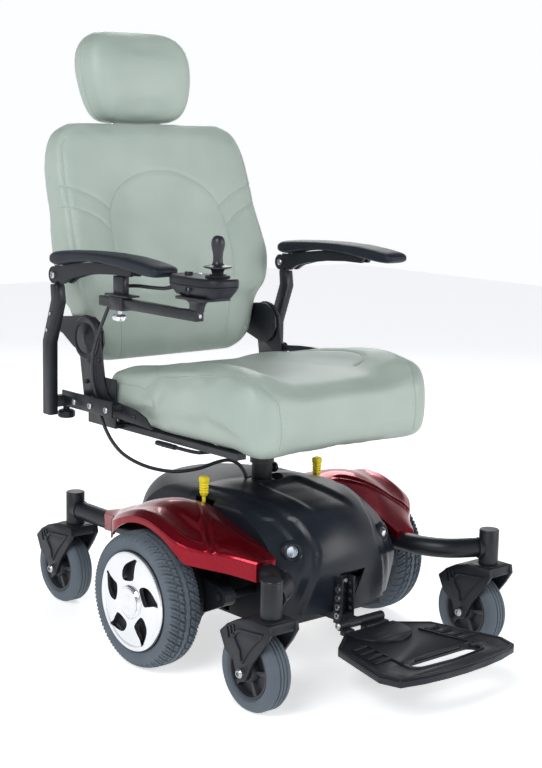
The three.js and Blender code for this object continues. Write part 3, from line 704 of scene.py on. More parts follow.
def makeDriveTyre(name):
    across, _, high = driveWheel["centre"]
    steps = driveWheel["blocks"] * driveWheel["perBlock"]
    wall = driveWheel["wall"]
    profile = [(r, -x) for r, x in wall] + driveWheel["crown"] + [(r, x) for r, x in reversed(wall)]
    points = []
    for i in range(steps):
        angle = 2 * math.pi * i / steps
        for radius, x in profile:
            if radius > driveWheel["shoulder"]:
                radius -= treadDepth(i / driveWheel["perBlock"], x)
            x = min(x, driveWheel["halfWidth"])
            points.append((across + x, radius * math.cos(angle), high + radius * math.sin(angle)))
    return buildMesh(name, points, quads(steps, len(profile), True), sharp=40)


def makeWheelCover(name):
    disc = turned(name, driveWheel["dish"], (0, 0, 0), "x", 120)
    cutters = []
    for i in range(driveWheel["swirls"]):
        window = slab("window", [driveWheel["swirl"]], "x", 20, 60, 0.1, smooth=4)
        turn = math.radians(360 / driveWheel["swirls"] * i + driveWheel["swirlTurn"])
        cutters.append(moved(window, Matrix.Rotation(turn, 4, "X")))
    return shifted(rounded(carved(disc, cutters), 0.9), *driveWheel["centre"])


def addDriveWheels():
    centre = driveWheel["centre"]
    for hand, side in sides.items():
        body = f"wheel_{hand}"
        place(mirrored(makeDriveTyre(f"tyre_{hand}"), side), body, "tyre_rubber", f"drive_tyre_{hand}")
        place(mirrored(makeWheelCover(f"cover_{hand}"), side), body, "chrome", f"wheel_cover_{hand}")
        cap = turned(f"hub_cap_{hand}", driveWheel["cap"], centre, "x", 64)
        place(mirrored(cap, side), body, "chrome")
        rim = turned(f"rim_{hand}", driveWheel["rim"], centre, "x", 72)
        place(mirrored(rim, side), body, "rim_plastic", f"drive_rim_{hand}")


casterWheel = {
    "centre": (0, 37, 75),  # from the stem's foot
    "tread": [(74.2, -14), (75, -12.5), (75, -9.5), (73, -8.6), (73, -6.6), (75, -5.8), (75, -1.2), (73, -0.8)],
    "side": [(52, 20), (54, 22.6), (60, 23), (67, 21.8), (72, 18.2)],
    "hub": [(7, 23.5), (17, 23.5), (19, 20), (20, 7), (44, 6), (46, 19), (49.8, 19.5)],
    "spoke": [(18, -3), (46, -5), (46, 5), (18, 3)], "spokes": 5, "spokeTurn": 30,
}
stems = {"front": (281.7, -342.5), "rear": (193, 391)}


def makeCasterTyre(name):
    side = casterWheel["side"]
    tread = casterWheel["tread"] + [(r, -x) for r, x in reversed(casterWheel["tread"])]
    profile = [(50, -18)] + [(r, -x) for r, x in side] + tread + [(r, x) for r, x in reversed(side)] + [(50, 18)]
    return turned(name, profile, casterWheel["centre"], "x", 72)


def makeCasterHub():
    half = casterWheel["hub"]
    pieces = [turned("hub", [(r, -x) for r, x in half] + [(r, x) for r, x in reversed(half)], (0, 0, 0), "x", 60)]
    for i in range(casterWheel["spokes"]):
        fin = slab("fin", [casterWheel["spoke"]], "x", -17, 17, 1)
        turn = math.radians(360 / casterWheel["spokes"] * i + casterWheel["spokeTurn"])
        pieces.append(moved(fin, Matrix.Rotation(turn, 4, "X")))
    return shifted(joined(pieces), *casterWheel["centre"])


forkHood = [(-33, 176.6), (22, 176.6), (34, 172), (56, 167), (78, 155), (99, 137), (93, 131), (72, 147), (48, 157),
            (-33, 158)]
forkCheek = [(-33, 176), (-36, 160), (-22, 138), (8, 100), (20, 76)]
forkCheek += arc((37, 75), 15.5, 190, 350, 10) + [(60, 92), (84, 108), (98, 136), (78, 155), (52, 167), (24, 176)]
forkPanel = [(-22, 160), (46, 154), (66, 138), (44, 112), (40, 92), (34, 92), (18, 116), (-12, 148)]
forkRecess = [(a + (26 - a) * 0.2, b + (130 - b) * 0.2) for a, b in forkPanel]


def makeFork():
    pieces = [slab("fork", [forkHood], "x", -33.2, 33.2, 1.5)]
    for out in (1, -1):
        pieces.append(slab("cheek", [forkCheek], "x", *sorted((26.8 * out, 34 * out)), 1.6))
        low, high = sorted((33.2 * out, 36.2 * out))
        pieces.append(slab("panel", [forkPanel, forkRecess], "x", low, high, 1.0))
        for k in range(3):  # the three slanted ribs
            rib = [(58 + 9 * k, 158 - 4 * k), (62 + 9 * k, 157 - 4.6 * k), (56 + 9 * k, 136 - 3 * k),
                   (53 + 9 * k, 136 - 3 * k)]
            pieces.append(slab("slash", [rib], "x", low, high, 0.8))
    pieces.append(slab("step", [squarish(30, 27, 5, 24)], "z", 172, 177.6, 1.6))
    pieces.append(rod("pin", 9, 170, 228, (0, 0, 0), "z", 20))
    return joined(pieces)


def makeAxle():
    _, y, z = casterWheel["centre"]
    heads = [bolt("head", (34 * out, y, z), "x", 8.2, 8.5, out) for out in (1, -1)]
    return joined([rod("axle", 5.9, -38, 38, (0, y, z), "x", 20)] + heads)


def addCasters():
    for end, (x, y) in stems.items():
        for hand, side in sides.items():
            which = f"{end}_{hand}"
            for title, piece, body, slot, *nodes in (
                ("caster_tyre", makeCasterTyre("tyre"), "caster", "tyre_rubber", "caster_wheel"),
                ("caster_hub", makeCasterHub(), "caster", "rim_plastic"),
                ("fork_shell", makeFork(), "fork", "black_plastic", "caster_fork"),
                ("caster_axle", makeAxle(), "fork", "steel"),
            ):
                piece.name = f"{title}_{which}"
                place(shifted(piece, side * x, y), f"{body}_{which}", slot, *(f"{node}_{which}" for node in nodes))


armRoutes = {
    "front": [(140.5, -114, 209), (150, -114, 209), (176, -150, 209), (181, -212, 209), (186, -255, 209),
              (214, -300, 209), (277.7, -336.5, 209)],
    "rear": [(140.5, 92, 209), (150, 92, 209), (182, 122, 209), (193, 180, 209), (193, 280, 209), (193, 387, 209)],
}


armHousing = [(10.2, 178), (18.6, 178), (19.4, 179), (19.4, 240.5), (18.4, 242), (0, 242), (0, 233), (10.2, 233)]
armCap = [(0, 241), (18.9, 241), (19.6, 242), (19.6, 244), (18.2, 246), (0, 246.4)]


def addCasterArms():
    for end, (x, y) in stems.items():
        for hand, side in sides.items():
            tube = pipe("tube", splinePoints(armRoutes[end], 7), 19, 28)
            housing = turned("housing", armHousing, (x, y, 0), "z", 40)
            cap = turned("cap", armCap, (x, y, 0), "z", 40)
            last, before = armRoutes[end][-1], armRoutes[end][-2]
            ahead = (Vector(last) - Vector(before)).normalized()
            seam = Vector((x, y, last[2])) - ahead * 19.5
            weld = pipe("weld", [seam - ahead * 3, seam, seam + ahead * 3], 20.6, 28)
            assembled(f"arm_tube_{end}_{hand}", [tube, housing, cap, weld], "base", "black_frame",
                      f"caster_arm_{end}_{hand}", side=side)


addDriveWheels()
addCasters()
addCasterArms()
print("wheels made")


# y, inner and outer x, inner, middle and outer z, and the lip
fenderSections = [
    (-212, 159, 205, 232, 232, 231, 195), (-170, 158, 236, 250, 252, 241, 206), (-130, 158, 280, 262, 270, 250, 218),
    (-100, 158, 302, 271, 282, 261, 224), (-60, 158, 308, 283, 297, 277, 224), (-20, 158, 309, 294, 307, 287, 224),
    (20, 158, 309, 295, 308, 287, 224), (60, 158, 308, 291, 300, 277, 224), (100, 158, 303, 283, 288, 261, 224),
    (140, 160, 278, 273, 272, 250, 218), (190, 164, 236, 257, 255, 241, 206), (250, 171, 217, 234, 235, 232, 197),
]
fender = {
    "arch": 146, "thickness": 2.6,
    "groove": {"top": (176, -6), "foot": (262, -156), "gap": 7.5, "lift": 2.6, "width": 3.0},
}


def fenderLift(x, y, xo):
    # the rounded flare over the wheel, and the twin lines ahead of it
    over = ease((y + 150) / 60) * ease((215 - y) / 60)
    lift = over * (4.5 * math.exp(-(((xo - x - 17) / 10) ** 2)) - 3.5 * math.exp(-(((xo - x - 50) / 18) ** 2)))
    groove = fender["groove"]
    top, foot = Vector(groove["top"]), Vector(groove["foot"])
    along = (foot - top).normalized()
    away = Vector((x, y)) - top
    gap = away.dot(Vector((-along.y, along.x)))
    shown = ease((away.dot(along) / (foot - top).length + 0.02) / 0.1)
    for k, sign in ((-1, 1), (0, -1), (1, 1)):
        lift += shown * sign * groove["lift"] * math.exp(-(((gap - k * groove["gap"]) / groove["width"]) ** 2))
    return lift


def fenderRow(section):
    y, xi, xo, zi, zm, zo, lip = section
    if abs(y) < fender["arch"]:
        lip = max(lip, driveWheel["centre"][2] + math.sqrt(fender["arch"] ** 2 - y * y))
    middle = (xi + xo) / 2
    zo = max(zo, lip + 4)
    top = [(xi, zi), (middle - (xo - xi) / 6, zm), (middle + (xo - xi) / 5, (zm + zo) / 2 + 3), (xo - 5, zo + 2),
           (xo, zo - 3)]
    soft = splinePoints([(a, y, b) for a, b in top], 18)
    inner = [Vector((xi, y, zi - 14 + 14 * k / 4)) for k in range(4)]
    outer = [Vector((xo, y, zo - 3 + (lip - zo + 3) * k / 10)) for k in range(1, 11)]
    for point in soft:
        point.z += fenderLift(point.x, y, xo)
    return inner + soft + outer


def makeFender(name):
    rows = [fenderRow(section) for section in flowRows(fenderSections, 18)]
    front = rows[0]
    middle = (front[0].x + front[-1].x) / 2
    turnedIn = [p + Vector((math.copysign(min(9, abs(middle - p.x)), middle - p.x), 0.5, -7 * (p.z > 215)))
                for p in front]
    rows.insert(0, turnedIn)
    points = [tuple(p) for row in rows for p in row]
    piece = buildMesh(name, points, quads(len(rows), len(front), loopCount=False), sharp=42)
    upright = piece.data.polygons[len(piece.data.polygons) // 2].normal.z
    return bake(thickened(piece, fender["thickness"], -1 if upright > 0 else 1), 42)


# z, half width, front, front at the sides, rear, rear at the sides
shroudLevels = [
    (118, 150, -236, -198, 306, 206), (160, 152, -243, -208, 310, 208), (200, 153, -245, -212, 315, 210),
    (235, 153, -236, -190, 315, 206), (262, 152, -222, -161, 306, 190), (285, 150, -204, -115, 284, 160),
    (299, 143, -182, -84, 256, 130), (308, 124, -150, -56, 222, 100), (313, 92, -100, -30, 170, 80),
]
shroud = {
    "hole": {"radius": 41, "y": 15, "z": 315}, "centre": (0, 30, 150), "wall": 3,
    "scoopFoot": [(-34, 192), (30, 192), (6, 135), (-34, 135)],
}


def ridgeHalf(y, z):
    # how far the ridges stand from the middle
    if z > 285:
        return between(-y, [(-10, 112), (60, 110), (200, 84)])
    return between(z, [(118, 106), (150, 98), (235, 72), (285, 84)])


def shroudLift(x, y, z):
    # the two ridges of the front, and the scoop between them
    if y > 50:
        return 0
    ridge = ridgeHalf(y, z)
    raised = 7 * (1 - ease((abs(x) - ridge) / 7)) + 3.5 * (1 - ease((abs(x) - ridge - 30) / 6))
    scoop = ease((58 - abs(x)) / 22) * ease((y + 205) / 50) * ease((-24 - y) / 14) * ease((z - 272) / 12)
    return (raised - 9 * scoop) * ease((50 - y) / 40)


def shroudRings():
    across = 32
    shares = [i / across - 1 for i in range(2 * across)]
    rings = []
    for z, half, front, frontSide, rear, rearSide in flowRows(shroudLevels, 7):
        rings.append([Vector((sign * a * half, middle + (side - middle) * abs(a) ** 2.3, z))
                      for sign, middle, side in ((1, front, frontSide), (-1, rear, rearSide)) for a in shares])
    top, (radius, y, z) = rings[-1], shroud["hole"].values()
    hole = [Vector((sign * radius * math.sin(a * math.pi / 2), y - sign * radius * math.cos(a * math.pi / 2), z))
            for sign in (1, -1) for a in shares]
    for k in range(1, 13):
        t = k / 12
        rings.append([p.lerp(q, t) + Vector((0, 0, 2.5 * math.sin(math.pi * t))) for p, q in zip(top, hole)])
    return rings


def makeShroudShell(name):
    rings = shroudRings()
    centre = Vector(shroud["centre"])
    points = []
    for p in (p for ring in rings for p in ring):
        out = Vector((0, p.y - centre.y, (p.z - centre.z) * 0.9)).normalized()
        points.append(tuple(p + out * shroudLift(*p)))
    piece = buildMesh(name, points, quads(len(rings), len(rings[0])), sharp=60)
    centroid = sum((v.co for v in piece.data.vertices), Vector()) / len(piece.data.vertices)
    face = piece.data.polygons[len(rings[0]) * 10]
    outward = face.normal.dot(face.center - centroid) > 0
    return bake(thickened(piece, shroud["wall"], -1 if outward else 1), 60)


def addShrouds():
    cutters = [
        block("cut", -175, 175, 61.3, 340, 90, 340),
        block("cut", -175, 175, -160, 230, 90, 232),
        slab("cut", [shroud["scoopFoot"]], "y", -270, -195, 0.5),
    ]
    for side in sides.values():
        cutters.append(block("cut", *sorted((side * 139, side * 163)), -14, 44, 225, 330))
        cutters.append(rod("cut", 15, -270, -190, (side * lamp["at"][0], 0, lamp["at"][2]), "y", 32))
    place(carved(makeShroudShell("shroud_front"), cutters), "base", "charcoal_shell", "front_shroud")
    cutters = [block("cut", -175, 175, *spans) for spans in (
        (-280, 62.7, 90, 340), (50, 207, 90, 232), (206, 340, 90, 185))]
    place(carved(makeShroudShell("shroud_rear"), cutters), "base", "black_plastic", "rear_shroud")


lamp = {
    "at": (118, -212, 238), "outward": 24, "upward": 12,
    "bezel": [(11.5, 2), (12.5, -3.5), (15.5, -4.2), (19.5, -1.5), (22, 2.5), (20, 6), (14, 14), (11.5, 14)],
    "bowl": [(0, 12), (5, 10), (10, 1), (11.4, -1), (11.4, 13), (0, 15)],
    "lens": [(0, -6), (4, -5.4), (8, -3.4), (10.8, 0), (10.8, 1), (0, 1)],
}


def addHeadlights():
    x, y, z = lamp["at"]
    for hand, side in sides.items():
        aimed = Matrix.Translation(Vector((side * x, y, z)) * mm)
        aimed @= Matrix.Rotation(math.radians(side * lamp["outward"]), 4, "Z")
        aimed @= Matrix.Rotation(math.radians(-lamp["upward"]), 4, "X")
        for part, steps, slot, *nodes in (("bezel", 44, "charcoal_shell"), ("bowl", 36, "chrome"),
                                          ("lens", 36, "lens", f"headlight_{hand}")):
            piece = turned(f"lamp_{part}_{hand}", lamp[part], (0, 0, 0), "y", steps)
            place(moved(piece, aimed), "base", slot, *nodes)


lever = {
    "at": (148.4, 13.6),
    "grip": [(305, 5.2), (309, 6.8), (312, 7.6), (314.5, 6.4), (317, 7.7), (319.5, 6.5), (322, 7.9), (324.5, 6.7),
             (327, 8.1), (329.5, 6.9), (332, 8.2), (336, 8.6), (341, 8.4), (343.5, 6.0)],
}


def addLevers():
    for hand, side in sides.items():
        x, y, body = side * lever["at"][0], lever["at"][1], f"release_{hand}"
        grip = stacked(f"lever_grip_{hand}", x, y, lever["grip"], 1.04, 4, 20)
        stalk = block("stalk", x - 2.5, x + 2.5, y - 3, y + 3, 283, 307, 0.6)
        pivot = rod("pivot", 6, -6, 5, (x, y, 282), "x", 24)
        place(grip, body, "yellow_plastic", f"freewheel_lever_{hand}")
        assembled(f"lever_stalk_{hand}", [stalk, pivot], body, "yellow_plastic")


def addFenders():
    for hand, side in sides.items():
        place(mirrored(makeFender(f"fender_shell_{hand}"), side), "base", "red_shell", f"fender_{hand}")


addFenders()
addShrouds()
addHeadlights()
addLevers()
print("body made")


footHinge = (0, -283, 102)
footOutline = [(-62, -299), (-122, -345), (-160, -488), (-148, -528), (-100, -540), (-50, -546), (0, -548),
               (50, -546), (100, -540), (148, -528), (160, -488), (122, -345), (62, -299)]
slotOutline = arc((-70, -491), 18, 90, 270, 8) + [(-30, -512), (0, -514), (30, -512)]
slotOutline += arc((70, -491), 18, -90, 90, 8)


def scaledLoop(loop, factor, centre):
    return [(centre[0] + (a - centre[0]) * factor, centre[1] + (b - centre[1]) * factor) for a, b in loop]


def makeFootplate():
    pieces = [
        slab("footplate_shell", [footOutline, slotOutline], "z", 84, 90, 1.2),
        slab("skirt", [footOutline, scaledLoop(footOutline, 0.955, (0, -430))], "z", 74, 91.5, 1.4),
        slab("collar", [scaledLoop(slotOutline, 1.1, (0, -493)), slotOutline], "z", 80, 92.4, 0.8),
    ]
    for side in sides.values():
        for k in range(4):
            y = -372 - 24 * k
            low, high = sorted((side * (78 + 4 * k), side * (112 + 6.2 * k)))
            pieces.append(block("rib", low, high, y - 5, y + 5, 88, 93.5, 1.6))
        for ridge in (((70, -360), (74, -360), (96, -478), (91, -480)),
                      ((96, -476), (60, -472), (60, -476), (92, -481))):
            pieces.append(slab("ridge", [[(side * x, y) for x, y in ridge]], "z", 88, 93, 0.8))
    pieces.append(slab("bar", [[(-92, -470), (92, -470), (92, -475), (-92, -475)]], "z", 88, 93, 0.8))
    heel = [(-62, -303)] + arc((0, -326), 62, 180, 360, 20) + [(62, -303)]
    pieces.append(slab("heel", [heel], "z", 88, 94.5, 1.5))
    for x0, x1 in ((-62, -40.5), (-9.5, 50)):
        pieces.append(turned("barrel", [(4.7, x0), (9, x0), (9, x1), (4.7, x1)], footHinge, "x", 28))
        pieces.append(block("knuckle", x0, x1, -304, -287, 86, 98, 1))
    return joined(pieces)


def addFootrest():
    place(makeFootplate(), "footrest", "black_plastic", "footplate")
    eyelet = [(3, -7), (6, -7), (6, -3.4), (3, -3.4)]
    metal = [turned("eyelet", eyelet, (-38.5, -259, z), "x", 18) for z in (112, 129, 146, 163)]
    metal += [bolt("bolt", (x, -254.5, 176), "y", 4.5, 3, -1) for x in (-30, -20)]
    metal += [bolt("pin_head", (x, *footHinge[1:]), "x", 6.5, 5, out) for x, out in ((50, 1), (-62, -1))]
    assembled("foot_bolts", metal, "base", "steel")


addFootrest()
print("footplate made")


back = {"hinge": Vector((0, 283, 588)), "lean": math.radians(11.4)}
lean = back["lean"]
frontAim = Vector((0, math.cos(lean), -math.sin(lean)))  # straight into the back from the front


def backPoint(x, v, w):
    # x across, v up along the back and w behind its hinge
    _, y, z = back["hinge"]
    return Vector((x, y + w * math.cos(lean) + v * math.sin(lean), z + v * math.cos(lean) - w * math.sin(lean)))


# how the covers are simulated; each pad has its own pressure
clothing = {"quality": 4, "tension": 20, "bending": 2, "frames": 20}


def puffed(piece, voxel, pressure, cap):
    modifier = piece.modifiers.new("remesh", "REMESH")
    modifier.mode = "VOXEL"
    modifier.voxel_size = voxel * mm
    bake(piece)
    start = [v.co.copy() for v in piece.data.vertices]
    cloth = piece.modifiers.new("cloth", "CLOTH")
    cloth.settings.quality = clothing["quality"]
    cloth.settings.use_pressure = True
    cloth.settings.uniform_pressure_force = pressure
    cloth.settings.effector_weights.gravity = 0
    cloth.settings.tension_stiffness = clothing["tension"]
    cloth.settings.bending_stiffness = clothing["bending"]
    cloth.point_cache.frame_start = 1
    cloth.point_cache.frame_end = clothing["frames"]
    for number in range(1, clothing["frames"] + 1):
        bpy.context.scene.frame_set(number)
    bake(piece)
    for vertex, before in zip(piece.data.vertices, start):
        step = vertex.co - before
        if step.length > cap * mm:
            vertex.co = before + step.normalized() * cap * mm
    bpy.context.scene.frame_set(1)
    relaxed(piece, 3)
    return piece


def relaxed(piece, rounds):
    shape = bmesh.new()
    shape.from_mesh(piece.data)
    for _ in range(rounds):
        bmesh.ops.smooth_vert(shape, verts=shape.verts, factor=0.5, use_axis_x=True, use_axis_y=True, use_axis_z=True)
    shape.to_mesh(piece.data)
    shape.free()


def onSurface(tree, points, aim=None):
    # where the points land on the piece: straight along aim, or else at the nearest spot
    made = []
    for p in points:
        spot = None
        if aim is not None:
            spot, normal, _, _ = tree.ray_cast((Vector(p) - aim * 120) * mm, aim)
        if spot is None:
            spot, normal, _, _ = tree.find_nearest(Vector(p) * mm)
        made.append((spot / mm, normal))
    return made


def pressSeams(piece, paths, depth, width, aim=None):
    faces = [tuple(f.vertices) for f in piece.data.polygons]
    tree = BVHTree.FromPolygons([v.co for v in piece.data.vertices], faces)
    spots = [spot for path in paths for spot, _ in onSurface(tree, path, aim)]
    marks = KDTree(len(spots))
    for i, spot in enumerate(spots):
        marks.insert(spot, i)
    marks.balance()
    for vertex in piece.data.vertices:
        _, _, gap = marks.find(vertex.co / mm)
        if gap < width * 3:
            vertex.co -= vertex.normal * depth * mm * math.exp(-((gap / width) ** 2))


stitching = {"spacing": 5.2, "aside": 4.2, "half": 1.5, "radius": 0.38}


def sewn(piece, paths, body, welt=1.1, stitches=True, aim=None, title=""):
    # a welt along each path, and a row of stitches on both sides of it
    tree = BVHTree.FromObject(piece, bpy.context.evaluated_depsgraph_get())
    welts, threads = [], []
    for path in paths:
        spots = onSurface(tree, path, aim)
        welts.append(pipe("welt", [spot + normal * 0.1 for spot, normal in spots], welt, 8))
        travelled = 0.0
        for (a, normal), (b, _) in zip(spots, spots[1:] if stitches else ()):
            travelled += (b - a).length
            if travelled < stitching["spacing"]:
                continue
            travelled = 0.0
            ahead = (b - a).normalized()
            aside = ahead.cross(normal).normalized() * stitching["aside"]
            for out in (1, -1):
                base = tree.find_nearest((a + aside * out) * mm)[0] / mm + normal * 0.15
                reach = ahead * stitching["half"]
                threads.append(pipe("stitch", [base - reach, base, base + reach], stitching["radius"], 5))
    assembled(f"{piece.name}{title}_welt", welts, body, "sage_vinyl")
    if threads:
        assembled(f"{piece.name}{title}_stitching", threads, body, "sage_vinyl", finish="thread")


def densePath(points):
    # a smooth path with a point about every 2.5
    rough = splinePoints(points, 24)
    made = [rough[0]]
    for p in rough[1:]:
        if (p - made[-1]).length >= 2.5:
            made.append(p)
    return made


seatPad = {
    "bottom": 425.4, "half": 230, "front": -241, "rear": 263, "corner": 44,
    "voxel": 6.5, "pressure": 3.5, "cap": 7,
    "press": (2.4, 3.6), "frontPress": (2.0, 3.6),  # how deep and how wide the seams are
    "middle": [(-236, 528), (-200, 541), (-120, 544), (0, 537), (150, 527), (262, 519)],
    "bolster": [(-236, 8), (-199, 24), (-141, 31), (-61, 32), (49, 24), (150, 12), (262, 4)],
    "levels": [(30, 0.0), (16, 0.03), (7, 0.10), (2.5, 0.2), (0, 0.4), (0, 0.64), (2, 0.85), (6, 0.95), (13, 1.0)],
    "insets": (24, 38, 56, 78, 104, 134, 168, 200),
    "rim": ((217, 236), (220, 100), (221, -40), (216, -120), (204, -176), (188, -210), (176, -226)),
    "channel": ((150, 225), (160, 120), (166, 0), (160, -84), (142, -120), (112, -126)),
    "frontSeam": ((175, 530), (174, 500), (172, 440)),
}


def seatTop(x, y):
    return between(y, seatPad["middle"]) + between(y, seatPad["bolster"]) * ease((abs(x) - 92) / 96)


def makeSeatPad():
    bottom = seatPad["bottom"]
    middle = (seatPad["front"] + seatPad["rear"]) / 2
    length = (seatPad["rear"] - seatPad["front"]) / 2
    rings = []
    for inset, height in seatPad["levels"] + [(inset, 1.0) for inset in seatPad["insets"]]:
        corner = max(seatPad["corner"] - inset, 8)
        rings.append([])
        for x, y in roundedRing(seatPad["half"] - inset, length - inset, corner, 96):
            y += middle
            narrow = 1 - 0.025 * ease((y - 60) / 60)
            rings[-1].append((x * narrow, y, bottom + (seatTop(x, y) - bottom) * height))
    piece = puffed(loft("seat_pad", rings), seatPad["voxel"], seatPad["pressure"], seatPad["cap"])
    tops, fronts = [], []
    for side in sides.values():
        tops += [densePath([(side * x, y, 560) for x, y in seatPad[seam]]) for seam in ("rim", "channel")]
        fronts.append(densePath([(side * x, -240, z) for x, z in seatPad["frontSeam"]]))
    down, inward = Vector((0, 0, -1)), Vector((0, 1, 0))
    pressSeams(piece, tops, *seatPad["press"], down)
    pressSeams(piece, fronts, *seatPad["frontPress"], inward)
    place(smoothed(piece), "seat", "sage_vinyl", "seat_cushion")
    sewn(piece, tops, "seat", aim=down)
    sewn(piece, fronts, "seat", aim=inward, title="_front")


# v, half width, front and rear
backSections = [
    (-53, 158, 40, 82), (-40, 184, 30, 92), (-15, 206, 21, 97), (30, 218, 11, 99), (60, 227, 3, 99),
    (95, 246, -13, 99),
    (150, 256, -16, 99), (200, 255, -8, 99), (260, 251, 4, 99), (320, 250, 12, 99), (380, 243, 19, 98),
    (425, 222, 26, 96), (446, 186, 36, 88),
]
backPad = {
    "voxel": 6, "pressure": 3.0, "cap": 5, "corner": 15, "wider": 6, "press": (2.2, 3.6),
    "hollow": [(-50, 0), (30, 8), (95, 24), (160, 26), (260, 14), (360, 3), (430, 0)],
    "arch": [(137, -45), (146, 60), (152, 150), (150, 215), (140, 262), (112, 300), (60, 328), (0, 337)],
    "folds": (((141, 256), (196, 290)), ((150, 214), (198, 248))),
    "rim": (-30, 30, 95, 150, 200, 260, 320, 380, 405), "rimInset": 11,
}


def backFront(x, v, front):
    # how far the middle of the front lies behind its side bolsters
    hollow = between(v, backPad["hollow"])
    bulge = 9 * math.exp(-(((v - 120) / 70) ** 2)) * (1 - ease(abs(x) / 120))
    return front + hollow * (1 - ease((abs(x) - 70) / 125)) - bulge


def makeBackPad():
    rings = []
    for v, half, front, rear in flowRows(backSections, 4):
        rings.append([])
        deep = (rear - front) / 2
        for x, w in roundedRing(half + backPad["wider"], deep, backPad["corner"], 120):
            depth = (front + rear) / 2 + w
            if w < 0:
                depth += (backFront(x, v, front) - front) * min(1, -w / deep) ** 2
            else:
                depth -= 0.6 * w * ease((abs(x) / half - 0.7) / 0.3)
            rings[-1].append(tuple(backPoint(x, v, depth)))
    piece = puffed(loft("back_pad", rings), backPad["voxel"], backPad["pressure"], backPad["cap"])
    arch = backPad["arch"] + [(-x, v) for x, v in reversed(backPad["arch"][:-1])]
    seams, rims = [densePath([backPoint(x, v, 0) for x, v in arch])], []
    halves = [(row[0], row[1]) for row in backSections]
    for side in sides.values():
        for a, b in backPad["folds"]:
            fold = [(*a, 0), ((a[0] + b[0]) / 2, (a[1] + b[1]) / 2 + 3, 0), (*b, 0), (228, b[1] + 12, 0),
                    (262, b[1] + 20, 8)]
            seams.append(densePath([backPoint(side * x, v, w) for x, v, w in fold]))
        rims.append(densePath([backPoint(side * (between(v, halves) - backPad["rimInset"]), v, 0)
                               for v in backPad["rim"]]))
    pressSeams(piece, seams + rims, *backPad["press"], frontAim)
    place(smoothed(piece), "back", "sage_vinyl", "back_cushion")
    sewn(piece, seams, "back", welt=0.8, stitches=False, aim=frontAim)
    sewn(piece, rims, "back", welt=0.8, aim=frontAim, title="_rim")


headSections = [
    (450, 86, 60, 96), (454, 100, 48, 108), (466, 112, 37, 118), (492, 122, 27, 127), (530, 129, 22, 132),
    (568, 131, 21, 134), (600, 126, 25, 131), (624, 111, 34, 122), (637, 90, 48, 110), (641, 64, 62, 98),
]


headPad = {
    "voxel": 5, "pressure": 1.5, "cap": 3, "corner": 26, "press": (1.8, 3.2),
    "rim": [(-96, 446), (-118, 480), (-130, 530), (-130, 570), (-120, 605), (-96, 630), (-50, 640)],
    "top": (0, 642),
}


def makeHeadPad():
    rings = []
    for v, half, front, rear in flowRows(headSections, 4):
        rings.append([])
        for x, w in roundedRing(half, (rear - front) / 2, headPad["corner"], 84):
            depth = (front + rear) / 2 + w + (5 * (1 - ease(abs(x) / 110)) if w < 0 else 0)
            if w > 0:
                depth -= 0.5 * w * ease((abs(x) / half - 0.5) / 0.5)
            rings[-1].append(tuple(backPoint(x, v, depth)))
    piece = puffed(loft("head_pad", rings), headPad["voxel"], headPad["pressure"], headPad["cap"])
    relaxed(piece, 4)
    rim = headPad["rim"] + [headPad["top"]] + [(-x, v) for x, v in reversed(headPad["rim"])]
    seams = [densePath([backPoint(x, v, 72) for x, v in rim])]
    pressSeams(piece, seams, *headPad["press"])
    place(smoothed(piece), "head", "sage_vinyl", "headrest")
    sewn(piece, seams, "head", welt=0.8)


makeSeatPad()
makeBackPad()
makeHeadPad()
print("cushions made")


reclinerOutline = [(64, 436), (290, 447), (303, 520)] + arc((283, 588), 46, -57, 188, 22)
reclinerOutline += [(224, 511), (214, 486), (196, 474), (160, 470), (118, 466), (87, 456)]


reclinerDisc = [(0, 237.5), (44, 237.5), (44, 240.5), (42, 242), (33, 242.2), (32, 241), (30, 241), (29, 242.6),
                (14, 243), (13, 245), (0, 245.4)]


def addRecliners():
    for hand, side in sides.items():
        pieces = [
            slab("plate", [reclinerOutline], "x", 233, 238, 0.8),
            block("flange", 229.4, 233.6, 190, 284, 417, 515, 0.8),
            block("tab", 212.3, 232, 190, 250, 417, 424.6, 0.8),
            turned("disc", reclinerDisc, back["hinge"], "x", 56),
        ]
        spots = ((262, 470), (284, 500), (120, 452), (240, 548))
        pieces += [bolt("bolt", (238, y, z), "x", 4.6, 3.4) for y, z in spots]
        assembled(f"recliner_{hand}", pieces, "seat", "black_frame", f"recliner_plate_{hand}", side=side)


postOutline = [(307.5, 434), (332.5, 434), (332.5, 586), (303, 668), (306, 698), (282, 698), (277, 664), (307.5, 580)]


armPivot = (0, 295, 717)
knobProfile = [(0, 424), (15, 424), (18, 427), (18, 436), (14, 440), (7, 441), (7, 448.6), (0, 448.6)]


def addArmPosts():
    for hand, side in sides.items():
        pieces = [
            slab("bar", [postOutline], "x", 290, 310, 2),
            rod("tongue", 14.4, 291.5, 300.5, armPivot, "x", 32),
            block("neck", 291.6, 300.4, 283, 305, 690, 717, 1),
            block("cross", 238.4, 292, 309, 331, 449, 471, 1.6),
            block("strap", 267, 272, 150, 322, 449, 481, 1.2),
        ]
        pieces += [rod("spacer", 7, 238.4, 268, (0, y, 463), "x", 20) for y in (166, 276)]
        assembled(f"arm_upright_{hand}", pieces, "seat", "black_frame", f"arm_post_{hand}", side=side)
        heads = [bolt("head", (272, y, 463), "x", 6.5, 4.5) for y in (166, 221, 276)]
        heads += [bolt("head", (310, y, z), "x", 4, 2.6) for y, z in ((306, 640), (318, 606))]
        assembled(f"arm_bolts_{hand}", heads, "seat", "steel", side=side)
        knob = rounded(turned(f"arm_knob_{hand}", knobProfile, (262, 320, 0), "z", 10), 1.5)
        place(mirrored(knob, side), "seat", "black_plastic")


